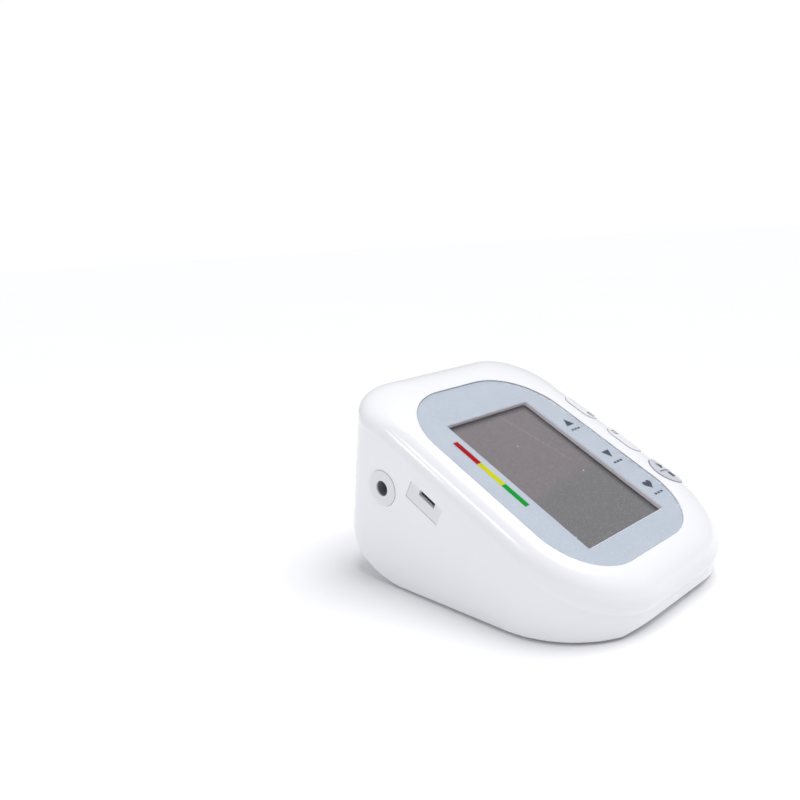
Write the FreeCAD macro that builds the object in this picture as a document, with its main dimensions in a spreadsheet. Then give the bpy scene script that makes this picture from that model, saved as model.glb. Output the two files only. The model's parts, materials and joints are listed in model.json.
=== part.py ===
import FreeCAD, Part
import math
import os
import Sketcher

# Desk-top upper-arm blood pressure monitor: a wedge-shaped white case with a sloping
# display panel, three push buttons, an air socket and a charging socket on its left wall,
# and the pump, valve, board and four cells inside.
#
# Frame: millimetres, origin at the middle of the footprint on the table, +X to the right of
# a user facing the display, +Y to the rear, +Z up.
# Panel pieces are drawn flat, x and y from the middle of the display window and depth
# measured down from the panel face, and their Placement tilts them into the case.

os.makedirs("parts", exist_ok=True)
Vec = FreeCAD.Vector
doc = FreeCAD.newDocument("blood_pressure_monitor")

DRIVING = {
    # panel and front cover
    "panel_tilt": 28.0, "window_height": 47.49984, "window_width": 52.0, "window_length": 75.0,
    "bezel_left": 40.7, "bezel_right": 40.4, "bezel_front": 49.1, "bezel_rear": 57.2,
    "bezel_front_round": 25.0, "bezel_rear_round": 28.3, "bezel_lip": 0.6,
    "cover_left": 49.5, "cover_right": 63.4, "cover_front": 63.6, "cover_rear": 78.2,
    "cover_front_round": 38.0, "cover_rear_round": 25.0, "parting_depth": 11.0,
    "parting_gap": 0.15, "wall": 2.2, "cover_floor": 1.9,
    "lens_thick": 1.0, "print_thick": 0.12, "lens_gap": 0.1, "lens_sink": 0.05,
    # rear case
    "foot_height": 1.1, "foot_radius": 4.0, "foot_sink": 0.9, "base_round": 40.0, "rear_lean": 10.0,
    "undercut_height": 3.9, "undercut_reach": 5.6,
    "foot_front_x": 22.0, "foot_front_y": 44.0, "foot_clear": 10.0, "foot_rear_y": 17.0,
    # display stack and board
    "glass_width": 59.0, "glass_length": 81.0, "glass_thick": 2.8, "reflector_thick": 0.3,
    "frame_wall": 2.2, "frame_ledge": 3.0, "glass_gap": 0.2, "board_depth": 12.5,
    "board_thick": 1.6, "board_left": 46.5, "board_right": 57.0, "board_front": 45.5,
    "board_rear_inset": 9.979, "board_front_round": 26.0, "board_rear_round": 12.0,
    "strip_thick": 2.0, "post_radius": 3.2, "board_post_x": 38.0, "board_post_front": 38.0,
    "board_post_inset": 6.0, "window_round": 1.0, "glass_round": 0.5, "holder_round": 9.0,
    "holder_drop": 1.0, "reflector_end": 7.0, "reflector_side": 4.0, "strip_end": 6.0,
    "strip_offset": 1.7,
    # buttons and their switches
    "button_x": 52.3, "start_y": -23.3, "start_radius": 7.8, "memory_y": -0.8, "set_y": 24.2,
    "pill_width": 9.0, "pill_length": 17.0, "button_gap": 0.3, "button_proud": 0.5,
    "flange_depth": 7.3, "flange_thick": 1.0, "flange_reach": 0.9, "stem_radius": 2.2,
    "switch_side": 6.0, "switch_height": 2.4, "plunger_radius": 1.75, "plunger_gap": 0.05,
    "plunger_show": 0.9, "plunger_deep": 0.9, "button_travel": 0.8,
    # parts on the board
    "chip_x": 2.0, "chip_y": -12.0, "chip_side": 14.0, "chip_height": 1.6, "driver_x": 22.0,
    "driver_y": 8.0, "driver_length": 10.0, "driver_width": 5.0, "store_x": 24.0, "store_y": -16.0,
    "store_length": 5.0, "store_width": 4.0, "capacitor_x": 38.0, "capacitor_y": 14.0,
    "capacitor_pitch": 8.0, "capacitor_radius": 3.1, "capacitor_height": 7.0, "buzzer_x": 40.0,
    "buzzer_y": -14.0, "buzzer_radius": 6.0, "buzzer_height": 5.0, "buzzer_hole": 1.0,
    "sensor_width": 10.0, "sensor_length": 12.0, "sensor_height": 7.0, "sensor_port_y": 10.0,
    "sensor_port_drop": 3.9,
    # charging socket
    "plate_before": 33.15, "plate_length": 17.9, "plate_height": 7.7, "plate_sink": 0.25,
    "plate_thick": 1.3, "slot_offset": -0.75, "slot_length": 8.6, "slot_height": 2.65,
    "fit_gap": 0.1, "usb_length": 6.0, "usb_shell": 0.3,
    # air socket and air line
    "air_drop": 5.8, "ring_radius": 7.4, "ring_proud": 0.4, "ring_thick": 1.2,
    "air_bore": 3.2, "air_bore_length": 9.5, "air_body": 5.2, "air_body_length": 12.5,
    "spigot_radius": 1.6, "spigot_bore": 0.9, "spigot_length": 5.0, "tube_bore": 1.65,
    "tube_radius": 2.6, "tube_bend": 6.0, "tube_slack": 0.3, "tee_side": 7.0, "tee_x": 28.5,
    "nut_rim": 1.8, "nut_thick": 2.4, "nut_stand": 1.3,
    # pump
    "pump_behind": 6.725, "pump_ahead": 5.043, "pump_drop": 8.5, "pump_left": -14.0,
    "head_length": 6.0, "head_radius": 13.0, "diaphragm_thick": 1.2, "housing_length": 14.8,
    "housing_radius": 13.4, "motor_length": 25.0,
    "motor_radius": 12.0, "motor_wall": 0.9, "cap_length": 2.5, "shaft_radius": 1.0,
    "bearing_gap": 0.06, "armature_radius": 8.6, "sleeve_thick": 2.2, "sleeve_length": 15.0,
    "head_wall": 4.0, "head_roof": 3.0, "housing_wall": 2.2, "housing_floor": 2.5,
    "magnet_inset": 4.0, "magnet_gap": 0.4, "core_inset": 4.5, "commutator_radius": 3.2,
    "commutator_length": 3.2, "crank_radius": 4.0, "crank_throw": 2.0, "crank_length": 4.5,
    "shaft_inset": 3.0, "tag_near": 4.0, "tag_far": 6.5, "tag_rise": 3.0, "tag_thick": 0.5,
    "tag_length": 3.0, "rib_thick": 2.5,
    # valve
    "valve_shift": 1.45, "valve_y": -2.0, "valve_z": 12.5, "valve_width": 13.0, "valve_length": 20.0,
    "yoke_thick": 1.2, "coil_radius": 5.2, "core_radius": 2.2, "core_gap": 0.06,
    "valve_travel": 1.2, "bobbin_wall": 1.0, "winding_sink": 0.4, "plunger_reach": 3.5,
    "plunger_rim": 1.4, "plunger_plate": 1.0, "valve_wire": 0.2, "valve_spring_gap": 0.6,
    "nozzle_rim": 2.6, "nozzle_plate": 2.0, "nozzle_seat_gap": 0.3,
    # battery bay
    "cell_radius": 7.15, "cell_length": 49.3, "cell_nub": 1.2, "cell_gap": 0.9, "cell_lift": 0.3,
    "contact_side": 11.0, "contact_thick": 0.5, "contact_spring": 4.2, "contact_wire": 0.4,
    "contact_room": 4.4, "nub_room": 1.0, "nub_radius": 2.7,
    "bay_side": 1.05, "bay_front": 14.275, "bay_slack": 1.1, "bay_head": 1.3, "bay_wall": 2.6,
    "bay_roof_thick": 1.82,
    "door_margin": 2.0, "door_gap": 0.3, "door_thick": 2.0, "hook_x": 18.0, "hook_width": 8.0,
    "hook_reach": 2.4, "hook_thick": 1.2, "hook_root": 1.6, "hook_lift": 0.12,
    "thumb_radius": 6.0, "thumb_length": 16.0, "thumb_inset": 4.0, "thumb_drop": 5.0,
    "grip_length": 18.0, "grip_width": 1.0, "grip_pitch": 2.2, "grip_inset": 13.0, "grip_deep": 0.5,
    # screws
    "screw_radius": 1.4, "screw_head": 2.7, "screw_head_high": 1.8, "screw_length": 10.0,
    "tower_radius": 4.2, "tower_rear_left": 38.0, "tower_rear_right": 44.0, "tower_behind": 2.2,
    "tower_rear_top": 30.0, "tower_front_x": 34.9, "tower_front_inset": 13.55,
    "tower_front_top": 9.5, "tower_roof": 3.0, "screw_drive": 3.6, "drive_width": 0.6,
    "drive_deep": 1.0, "board_screw_radius": 0.98, "board_screw_head": 2.16,
    "board_screw_high": 1.26, "board_screw_bite": 5.0, "board_screw_drive": 2.8,
    "board_drive_width": 0.5, "board_drive_deep": 0.54,
    # leads
    "lead_radius": 0.6, "lead_bend": 2.5, "lead_clear": 4.0,
}

sheet = doc.addObject("Spreadsheet::Sheet", "sizes")


class Size:
    """A length or ratio with the sheet formula it comes from."""

    def __init__(self, value, text):
        self.value = float(value)
        self.text = text

    def __add__(self, other):
        other = as_size(other)
        return Size(self.value + other.value, f"({self.text} + {other.text})")

    def __sub__(self, other):
        other = as_size(other)
        return Size(self.value - other.value, f"({self.text} - {other.text})")

    def __mul__(self, other):
        other = as_size(other)
        return Size(self.value * other.value, f"({self.text} * {other.text})")

    def __truediv__(self, other):
        other = as_size(other)
        return Size(self.value / other.value, f"({self.text} / {other.text})")

    def __neg__(self):
        return as_size(0) - self

    def __radd__(self, other):
        return as_size(other) + self

    def __rsub__(self, other):
        return as_size(other) - self

    def __rmul__(self, other):
        return as_size(other) * self

    def __rtruediv__(self, other):
        return as_size(other) / self


def as_size(number):
    if isinstance(number, Size):
        return number
    return Size(number, f"({float(number):.6f})")


class Sizes:
    pass


d = Sizes()
for row, (name, number) in enumerate(DRIVING.items(), start=1):
    sheet.set(f"A{row}", name)
    sheet.set(f"B{row}", str(number))
    sheet.setAlias(f"B{row}", name)
    setattr(d, name, Size(number, f"sizes.{name}"))
doc.recompute()

tilt = math.radians(d.panel_tilt.value)
cos_tilt = Size(math.cos(tilt), "cos(sizes.panel_tilt * 1 deg)")
sin_tilt = Size(math.sin(tilt), "sin(sizes.panel_tilt * 1 deg)")
lean = math.radians(d.rear_lean.value)
cos_lean = Size(math.cos(lean), "cos(sizes.rear_lean * 1 deg)")
sin_lean = Size(math.sin(lean), "sin(sizes.rear_lean * 1 deg)")


def root(size):
    return Size(math.sqrt(size.value), f"sqrt({size.text})")


# The battery bay grows from the case floor with the cells that stand in it
base_top = d.foot_height + d.wall
cell_pitch = d.cell_radius * 2 + d.cell_gap
bay_half = cell_pitch * 1.5 + d.cell_radius + d.bay_side
bay_top = base_top + d.cell_lift + d.cell_radius * 2 + d.bay_head
bay_roof = bay_top + d.bay_roof_thick
board_back = d.board_depth + d.board_thick

# The footprint runs from the front of the cover roll to the belly of the leaning rear wall
roll_front = (d.cover_front - d.bezel_front - d.bezel_lip) * cos_tilt
roll_fall = d.parting_depth * sin_tilt
rim_front = (roll_fall - (d.bezel_front + d.bezel_lip) * cos_tilt
             - root(roll_front * roll_front + roll_fall * roll_fall))
rim_rear = d.parting_depth * sin_tilt + d.cover_rear * cos_tilt
rim_high = d.window_height + d.cover_rear * sin_tilt - d.parting_depth * cos_tilt
belly = (rim_rear + (rim_high - d.foot_height - d.base_round) * sin_lean / cos_lean
         + d.base_round - d.base_round / cos_lean)
case_x = (d.cover_right - d.cover_left) / 2
case_y = (rim_front + belly) / 2
left_wall = -d.cover_left + d.parting_gap
left_face = left_wall - case_x
bay_front = -d.bay_front - case_y
bay_rear = bay_front + d.cell_length + d.cell_nub + d.nub_room + d.contact_room + d.bay_slack
tower_front = rim_front - case_y + d.tower_front_inset
pump_y = (bay_rear + d.bay_wall + rim_rear - case_y) / 2 - d.pump_ahead
pump_z = d.window_height - d.pump_drop
air_y = pump_y - d.pump_behind
air_z = d.window_height - d.air_drop
valve_x = (left_face - bay_half - d.bay_wall) / 2 + d.valve_shift
tower_rear = pump_y + d.tower_behind
board_rear = (pump_y + case_y) / cos_tilt - d.board_rear_inset
board_post_rear = board_rear - d.board_post_inset
plate_y = board_rear - d.plate_before
foot_rear_x = bay_half + d.foot_clear


def panel_y(y, depth):
    return y * cos_tilt + depth * sin_tilt - case_y


def panel_z(y, depth):
    return d.window_height + y * sin_tilt - depth * cos_tilt


# Building blocks

def place(thing, x=0, y=0, z=0, axis=Vec(0, 0, 1), angle=0):
    x, y, z, angle = as_size(x), as_size(y), as_size(z), as_size(angle)
    turn = FreeCAD.Rotation(axis, angle.value)
    thing.Placement = FreeCAD.Placement(Vec(x.value, y.value, z.value), turn)
    for name, size in (("Base.x", x), ("Base.y", y), ("Base.z", z)):
        thing.setExpression("Placement." + name, size.text)
    if "sizes." in angle.text:
        thing.setExpression("Placement.Rotation.Angle", angle.text)
    return thing


def on_panel(thing, depth=0):
    """Tilt a flat-drawn piece into the panel, lowered by depth along its normal."""
    return place(thing, -case_x, panel_y(as_size(0), as_size(depth)),
                 panel_z(as_size(0), as_size(depth)), Vec(1, 0, 0), d.panel_tilt)


def bind(thing, **sizes):
    for name, size in sizes.items():
        size = as_size(size)
        setattr(thing, name, size.value)
        thing.setExpression(name, size.text)
    return thing


def box(name, x0, x1, y0, y1, z0, z1):
    x0, y0, z0 = as_size(x0), as_size(y0), as_size(z0)
    solid = doc.addObject("Part::Box", name)
    bind(solid, Length=as_size(x1) - x0, Width=as_size(y1) - y0, Height=as_size(z1) - z0)
    return place(solid, x0, y0, z0)


ALONG = {"x": Vec(0, 1, 0), "y": Vec(-1, 0, 0), "z": Vec(0, 0, 1)}


def rod(name, along, radius, x, y, z, length):
    """A cylinder that starts at x, y, z and runs along one axis."""
    solid = doc.addObject("Part::Cylinder", name)
    bind(solid, Radius=radius, Height=length)
    return place(solid, x, y, z, ALONG[along], 0 if along == "z" else 90)


def join(name, *solids):
    whole = doc.addObject("Part::MultiFuse", name)
    whole.Shapes = list(solids)
    return whole


def cut(name, base, *tools):
    tool = tools[0] if len(tools) == 1 else join(name + "_tools", *tools)
    whole = doc.addObject("Part::Cut", name)
    whole.Base = base
    whole.Tool = tool
    return whole


def common(name, one, other):
    whole = doc.addObject("Part::Common", name)
    whole.Base = one
    whole.Tool = other
    return whole


def group(name, *solids):
    """Several equal pieces that ship as one node."""
    whole = doc.addObject("Part::Compound", name)
    whole.Links = list(solids)
    return whole


def outline(sketch, left, right, front, rear, front_round, rear_round):
    """A rounded rectangle: distances of its four sides from the sketch origin and two radii."""
    left, right, front, rear = as_size(left), as_size(right), as_size(front), as_size(rear)
    fr, rr = as_size(front_round), as_size(rear_round)
    x0, x1, y0, y1 = -left.value, right.value, -front.value, rear.value
    a, b = fr.value, rr.value

    def side(xs, ys, xe, ye):
        return Part.LineSegment(Vec(xs, ys, 0), Vec(xe, ye, 0))

    def corner(x, y, radius, start):
        circle = Part.Circle(Vec(x, y, 0), Vec(0, 0, 1), radius)
        return Part.ArcOfCircle(circle, math.radians(start), math.radians(start + 90))

    sketch.addGeometry([
        side(x0 + a, y0, x1 - a, y0), corner(x1 - a, y0 + a, a, 270),
        side(x1, y0 + a, x1, y1 - b), corner(x1 - b, y1 - b, b, 0),
        side(x1 - b, y1, x0 + b, y1), corner(x0 + b, y1 - b, b, 90),
        side(x0, y1 - b, x0, y0 + a), corner(x0 + a, y0 + a, a, 180)], False)
    rule = Sketcher.Constraint
    for k in range(8):
        sketch.addConstraint(rule("Tangent", k, 2, (k + 1) % 8, 1))
    for k, kind in ((0, "Horizontal"), (2, "Vertical"), (4, "Horizontal"), (6, "Vertical")):
        sketch.addConstraint(rule(kind, k))
    sketch.addConstraint(rule("Equal", 1, 7))
    sketch.addConstraint(rule("Equal", 3, 5))
    measures = (
        ("left", rule("DistanceX", 6, 1, -1, 1, left.value), left),
        ("right", rule("DistanceX", -1, 1, 2, 1, right.value), right),
        ("front", rule("DistanceY", 0, 1, -1, 1, front.value), front),
        ("rear", rule("DistanceY", -1, 1, 4, 1, rear.value), rear),
        ("front_round", rule("Radius", 1, a), fr), ("rear_round", rule("Radius", 3, b), rr))
    for name, constraint, size in measures:
        index = sketch.addConstraint(constraint)
        sketch.renameConstraint(index, name)
        sketch.setExpression("Constraints." + name, size.text)
    return sketch


def new_body(name):
    return doc.addObject("PartDesign::Body", name)


def flat_sketch(body, name, depth):
    """A sketch parallel to the panel face at a depth, on the body's own base plane."""
    depth = as_size(depth)
    sketch = body.newObject("Sketcher::SketchObject", name)
    plane = [f for f in body.Origin.OriginFeatures if f.Role == "XY_Plane"][0]
    sketch.AttachmentSupport = [(plane, "")]
    sketch.MapMode = "FlatFace"
    sketch.AttachmentOffset = FreeCAD.Placement(Vec(0, 0, -depth.value), FreeCAD.Rotation())
    sketch.setExpression("AttachmentOffset.Base.z", (-depth).text)
    return sketch


def pad_down(body, name, depth, thick, *sides):
    sketch = outline(flat_sketch(body, name + "_sketch", depth), *sides)
    pad = body.newObject("PartDesign::Pad", name + "_pad")
    pad.Profile = sketch
    pad.Reversed = True
    bind(pad, Length=thick)
    return pad


def pocket_down(body, name, depth, deep, *sides):
    sketch = outline(flat_sketch(body, name + "_sketch", depth), *sides)
    pocket = body.newObject("PartDesign::Pocket", name + "_pocket")
    pocket.Profile = sketch
    bind(pocket, Length=deep)
    return pocket


def rectangle(half_x, half_y, radius):
    return half_x, half_x, half_y, half_y, radius, radius


def label(node, thing):
    thing.Label = node
    return thing


nodes = {}


def node(name, thing, panel=False):
    """Register a finished piece under the name of its node."""
    if panel:
        on_panel(thing)
    nodes[name] = label(name, thing)
    return thing


# Front cover: a moulded shell whose margins roll down from the bezel to the parting line

ROLL_STEPS = (0.0, 14.0, 28.0, 42.0, 57.0, 73.0, 90.0)


def roll_sides(inset, share):
    """The cover outline part of the way down the roll, inset by a wall thickness."""
    def blend(top, rim):
        return top + d.bezel_lip + (rim - top - d.bezel_lip) * share - inset
    return (blend(d.bezel_left, d.cover_left), blend(d.bezel_right, d.cover_right),
            blend(d.bezel_front, d.cover_front), blend(d.bezel_rear, d.cover_rear),
            blend(d.bezel_front_round, d.cover_front_round),
            blend(d.bezel_rear_round, d.cover_rear_round))


def roll_loft(body, name, kind, inset, top):
    """Stacked outlines from the panel face down to the parting line, lofted smooth."""
    rings = []
    for step in ROLL_STEPS:
        share = math.sin(math.radians(step))
        fall = 1 - math.cos(math.radians(step))
        depth = top + (d.parting_depth - top) * fall
        sketch = flat_sketch(body, f"{name}_ring_{int(step)}", depth)
        rings.append(outline(sketch, *roll_sides(inset, share)))
    loft = body.newObject(kind, name + "_loft")
    loft.Profile = rings[0]
    loft.Sections = rings[1:]
    loft.Ruled = False
    return loft


seam = d.parting_depth + d.parting_gap
recess = d.lens_sink + d.lens_thick + d.print_thick
glass_top = recess + d.cover_floor

shell = new_body("cover_shell")
roll_loft(shell, "cover_outer", "PartDesign::AdditiveLoft", as_size(0), as_size(0))
roll_loft(shell, "cover_inner", "PartDesign::SubtractiveLoft", d.wall, glass_top)
lens_sides = (d.bezel_left, d.bezel_right, d.bezel_front, d.bezel_rear,
              d.bezel_front_round, d.bezel_rear_round)
pocket_down(shell, "lens_recess", as_size(0), recess, *lens_sides)
pocket_down(shell, "window", recess - 0.1, d.cover_floor + 0.3,
            *rectangle(d.window_width / 2, d.window_length / 2, d.window_round))


def start_column(name, radius, depth, bottom):
    return rod(name, "z", radius, d.button_x, d.start_y, -bottom, bottom - depth)


def pill_column(name, y, half, depth, bottom):
    """An upright pill: a block between two half-round ends."""
    reach = (d.pill_length - d.pill_width) / 2
    middle = box(name + "_block", d.button_x - half, d.button_x + half, y - reach, y + reach,
                 -bottom, -depth)
    ends = [rod(f"{name}_end_{k}", "z", half, d.button_x, y + reach * k, -bottom, bottom - depth)
            for k in (-1, 1)]
    return join(name, middle, *ends)


above = as_size(-3.0)
cover_cuts = [
    start_column("start_hole", d.start_radius + d.button_gap, above, d.parting_depth),
    pill_column("memory_hole", d.memory_y, d.pill_width / 2 + d.button_gap, above,
                d.parting_depth),
    pill_column("set_hole", d.set_y, d.pill_width / 2 + d.button_gap, above, d.parting_depth)]

board_posts = []
board_pilots = []
post_spots = [(-d.board_post_x, -d.board_post_front), (d.board_post_x, -d.board_post_front),
              (-d.board_post_x, board_post_rear), (d.board_post_x, board_post_rear)]
for k, (x, y) in enumerate(post_spots):
    board_posts.append(rod(f"board_post_{k}", "z", d.post_radius, x, y, -d.board_depth,
                           d.board_depth - glass_top + 0.5))
    board_pilots.append(rod(f"board_pilot_{k}", "z", d.board_screw_radius + 0.05, x, y,
                            -d.board_depth - 1, as_size(7.0)))

holed_shell = cut("holed_shell", shell, *cover_cuts)
panel_cover = cut("panel_cover", join("posted_shell", holed_shell, *board_posts), *board_pilots)
on_panel(panel_cover)

tower_spots = [
    (-d.tower_rear_left, tower_rear, d.tower_rear_top),
    (d.tower_rear_right, tower_rear, d.tower_rear_top),
    (-d.tower_front_x, tower_front, d.tower_front_top),
    (d.tower_front_x, tower_front, d.tower_front_top)]
bosses = []
boss_pilots = []
for k, (x, y, top) in enumerate(tower_spots):
    roof = d.window_height + (y + case_y) * sin_tilt / cos_tilt
    bosses.append(rod(f"cover_boss_{k}", "z", d.post_radius, x, y, top + d.parting_gap,
                      roof - top - d.parting_gap))
    boss_pilots.append(rod(f"boss_pilot_{k}", "z", d.screw_radius + 0.05, x, y, top - 1,
                           d.screw_length))
skin_form = new_body("skin_form")
roll_loft(skin_form, "skin", "PartDesign::AdditiveLoft", d.wall / 2, recess + d.cover_floor / 2)
sky_block = box("sky_block", -d.cover_left * 2, d.cover_right * 2, -d.cover_front * 2,
                d.cover_rear * 2, -d.parting_depth, d.window_height)
sky = on_panel(cut("sky", sky_block, skin_form))
boss_set = cut("boss_set", join("boss_rods", *bosses), sky)
node("front_cover", cut("front_cover", join("bossed_cover", panel_cover, boss_set), *boss_pilots))

# Rear case: a vertical-walled tub under the parting line, rounded at the foot of its rear wall


def free_outline(name, inset, depth):
    """The case outline in the tilted parting plane, inset by a wall thickness."""
    sketch = doc.addObject("Sketcher::SketchObject", name)
    on_panel(sketch, depth)
    return outline(sketch, *(side - inset for side in (
        d.cover_left, d.cover_right, d.cover_front, d.cover_rear,
        d.cover_front_round, d.cover_rear_round)))


def case_prism(name, inset, depth, up):
    prism = doc.addObject("Part::Extrusion", name)
    prism.Base = free_outline(name + "_outline", inset, depth)
    prism.DirMode = "Custom"
    prism.Dir = Vec(0, sin_lean.value, -cos_lean.value)
    prism.setExpression("Dir.y", sin_lean.text)
    prism.setExpression("Dir.z", (-cos_lean).text)
    prism.Solid = True
    bind(prism, LengthFwd=d.window_height * 2.5, LengthRev=up)
    return prism


def side_profile(name, inset, base_inset):
    """The case seen from its side: flat base, belly and leaning rear wall, front undercut."""
    front = case_y - rim_front
    base = d.foot_height + base_inset
    bend = d.base_round - base_inset
    toe = front - d.undercut_reach - base_inset
    brow = base + d.undercut_height
    roof = d.window_height * 2
    rear_y = panel_y(d.cover_rear - inset, seam)
    rear_z = panel_z(d.cover_rear - inset, seam)
    crown = rear_y - (roof - rear_z) * sin_lean / cos_lean
    slope = Size(90 + d.rear_lean.value, "((90 + sizes.rear_lean) * 1 deg)")
    sketch = doc.addObject("Sketcher::SketchObject", name)
    sketch.Placement = FreeCAD.Placement(Vec(0, 0, 0), FreeCAD.Rotation(Vec(1, 1, 1), 120))
    z0, r, y0 = base.value, bend.value, -front.value
    yc = rear_y.value + (rear_z.value - z0 - r) * math.tan(lean) - r / math.cos(lean)
    heel = (yc + r * math.cos(lean), z0 + r + r * math.sin(lean))
    points = [(-toe.value, z0), (yc, z0), heel, (crown.value, roof.value), (y0, roof.value),
              (y0, brow.value)]

    def line(a, b):
        return Part.LineSegment(Vec(*points[a], 0), Vec(*points[b], 0))

    foot = Part.ArcOfCircle(Part.Circle(Vec(yc, z0 + r, 0), Vec(0, 0, 1), r),
                            math.radians(270), math.radians(360) + lean)
    sketch.addGeometry([line(0, 1), foot, line(2, 3), line(3, 4), line(4, 5), line(5, 0)], False)
    rule = Sketcher.Constraint
    for k in (0, 1):
        sketch.addConstraint(rule("Tangent", k, 2, k + 1, 1))
    for k in (2, 3, 4, 5):
        sketch.addConstraint(rule("Coincident", k, 2, (k + 1) % 6, 1))
    for k, kind in ((0, "Horizontal"), (3, "Horizontal"), (4, "Vertical")):
        sketch.addConstraint(rule(kind, k))
    measures = (
        ("base", rule("DistanceY", -1, 1, 0, 1, z0), base),
        ("toe", rule("DistanceX", 0, 1, -1, 1, toe.value), toe),
        ("bend", rule("Radius", 1, r), bend),
        ("crown", rule("DistanceX", -1, 1, 2, 2, crown.value), crown),
        ("roof", rule("DistanceY", -1, 1, 2, 2, roof.value), roof),
        ("slope", rule("Angle", 2, math.radians(slope.value)), slope),
        ("front", rule("DistanceX", 4, 1, -1, 1, front.value), front),
        ("brow", rule("DistanceY", -1, 1, 4, 2, brow.value), brow))
    for title, constraint, size in measures:
        index = sketch.addConstraint(constraint)
        sketch.renameConstraint(index, title)
        sketch.setExpression("Constraints." + title, size.text)
    return sketch


def profile_prism(name, inset, base_inset):
    prism = doc.addObject("Part::Extrusion", name)
    prism.Base = side_profile(name + "_profile", inset, base_inset)
    prism.DirMode = "Custom"
    prism.Dir = Vec(1, 0, 0)
    prism.Solid = True
    bind(prism, LengthFwd=d.cover_left + d.cover_right, LengthRev=d.cover_left + d.cover_right)
    return prism


case_outer = common("case_outer", case_prism("outer_prism", d.parting_gap, seam, as_size(0)),
                    profile_prism("outer_profile", d.parting_gap, as_size(0)))
case_inner = common("case_inner", case_prism("inner_prism", d.wall, seam, as_size(20)),
                    profile_prism("inner_profile", d.wall, d.wall))
case_shell = cut("case_shell", case_outer, case_inner)

bay_block = box("bay_block", -bay_half - d.bay_wall, bay_half + d.bay_wall,
                bay_front - d.bay_wall, bay_rear + d.bay_wall, d.foot_height, bay_roof)
towers = [rod(f"tower_{k}", "z", d.tower_radius, x, y, 0, top)
          for k, (x, y, top) in enumerate(tower_spots)]
sleeve_radius = d.motor_radius + d.sleeve_thick
motor_left = d.pump_left + d.head_length + d.diaphragm_thick + d.housing_length
sleeve_left = motor_left + (d.motor_length - d.sleeve_length) / 2
cradle_ribs = [
    box(f"cradle_rib_{k}", sleeve_left + offset, sleeve_left + offset + d.rib_thick,
        pump_y - sleeve_radius - 1.5, pump_y + d.motor_radius, 0, pump_z - 4)
    for k, offset in enumerate((as_size(1.0), d.sleeve_length - d.rib_thick - 1))]
cradle_seat = rod("cradle_seat", "x", sleeve_radius, sleeve_left - 5, pump_y, pump_z,
                  d.sleeve_length + 10)
cradle = cut("cradle", join("cradle_pair", *cradle_ribs), cradle_seat)
case_inside = common("case_inside", case_outer,
                     join("case_features", bay_block, cradle, *towers))
case_full = join("case_full", case_shell, case_inside)

case_cuts = [
    box("bay_space", -bay_half, bay_half, bay_front, bay_rear, 0, bay_top),
    box("door_opening", -bay_half - d.door_margin, bay_half + d.door_margin,
        bay_front - d.door_margin, bay_rear + d.door_margin, 0, base_top)]
for side in (-1, 1):
    case_cuts.append(box(
        f"hook_window_{side + 1}", d.hook_x * side - d.hook_width / 2 - 0.5,
        d.hook_x * side + d.hook_width / 2 + 0.5, bay_front - d.bay_wall - 2,
        bay_front + 1, base_top - 0.01, base_top + 4.2))
for k, (x, y, top) in enumerate(tower_spots):
    seat = top - d.tower_roof
    case_cuts.append(rod(f"tower_well_{k}", "z", d.screw_head + 0.4, x, y, -1, seat + 1))
    case_cuts.append(rod(f"tower_hole_{k}", "z", d.screw_radius + 0.2, x, y, seat - 1,
                         d.tower_roof + 3))
foot_spots = [(d.foot_front_x * s, -d.foot_front_y) for s in (-1, 1)]
foot_spots += [(foot_rear_x * s, d.foot_rear_y) for s in (-1, 1)]
for k, (x, y) in enumerate(foot_spots):
    case_cuts.append(rod(f"foot_pocket_{k}", "z", d.foot_radius + d.fit_gap, x, y, 0,
                         d.foot_height + d.foot_sink))
case_cuts.append(rod("socket_hole", "x", d.air_body + 0.1, left_face - 2, air_y, air_z,
                     as_size(8.0)))
case_cuts.append(rod("socket_seat", "x", d.ring_radius + 0.15, left_face - 2, air_y, air_z,
                     d.ring_thick - d.ring_proud + 2))
plate_top = board_back
plate_front = plate_y - d.plate_length / 2
plate_rear = plate_y + d.plate_length / 2
plate_hole = box("plate_hole", left_wall - 2, left_wall + 6, plate_front, plate_rear,
                 -plate_top - d.plate_height, -plate_top)
case_cuts.append(on_panel(group("plate_hole_tilted", plate_hole)))
node("rear_case", cut("rear_case", case_full, *case_cuts))

# Display stack: clear lens with its printed back, the liquid crystal glass and its holder

lens = new_body("display_lens")
pad_down(lens, "lens", d.lens_sink, d.lens_thick, *(side - d.lens_gap for side in lens_sides))
node("display_lens", lens, panel=True)

print_body = new_body("bezel_print")
pad_down(print_body, "print", d.lens_sink + d.lens_thick, d.print_thick,
         *(side - d.lens_gap for side in lens_sides))
pocket_down(print_body, "print_window", as_size(0), as_size(4),
            *rectangle(d.window_width / 2, d.window_length / 2, d.window_round))
node("bezel_print", print_body, panel=True)

glass = new_body("lcd_glass")
pad_down(glass, "glass", glass_top, d.glass_thick,
         *rectangle(d.glass_width / 2, d.glass_length / 2, d.glass_round))
node("lcd_glass", glass, panel=True)

glass_back = glass_top + d.glass_thick
reflector = new_body("lcd_reflector")
reflector_half = d.glass_length / 2 - d.reflector_end
pad_down(reflector, "reflector", glass_back, d.reflector_thick,
         *rectangle(d.glass_width / 2 - d.reflector_side, reflector_half, d.glass_round))
node("lcd_reflector", reflector, panel=True)

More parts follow.
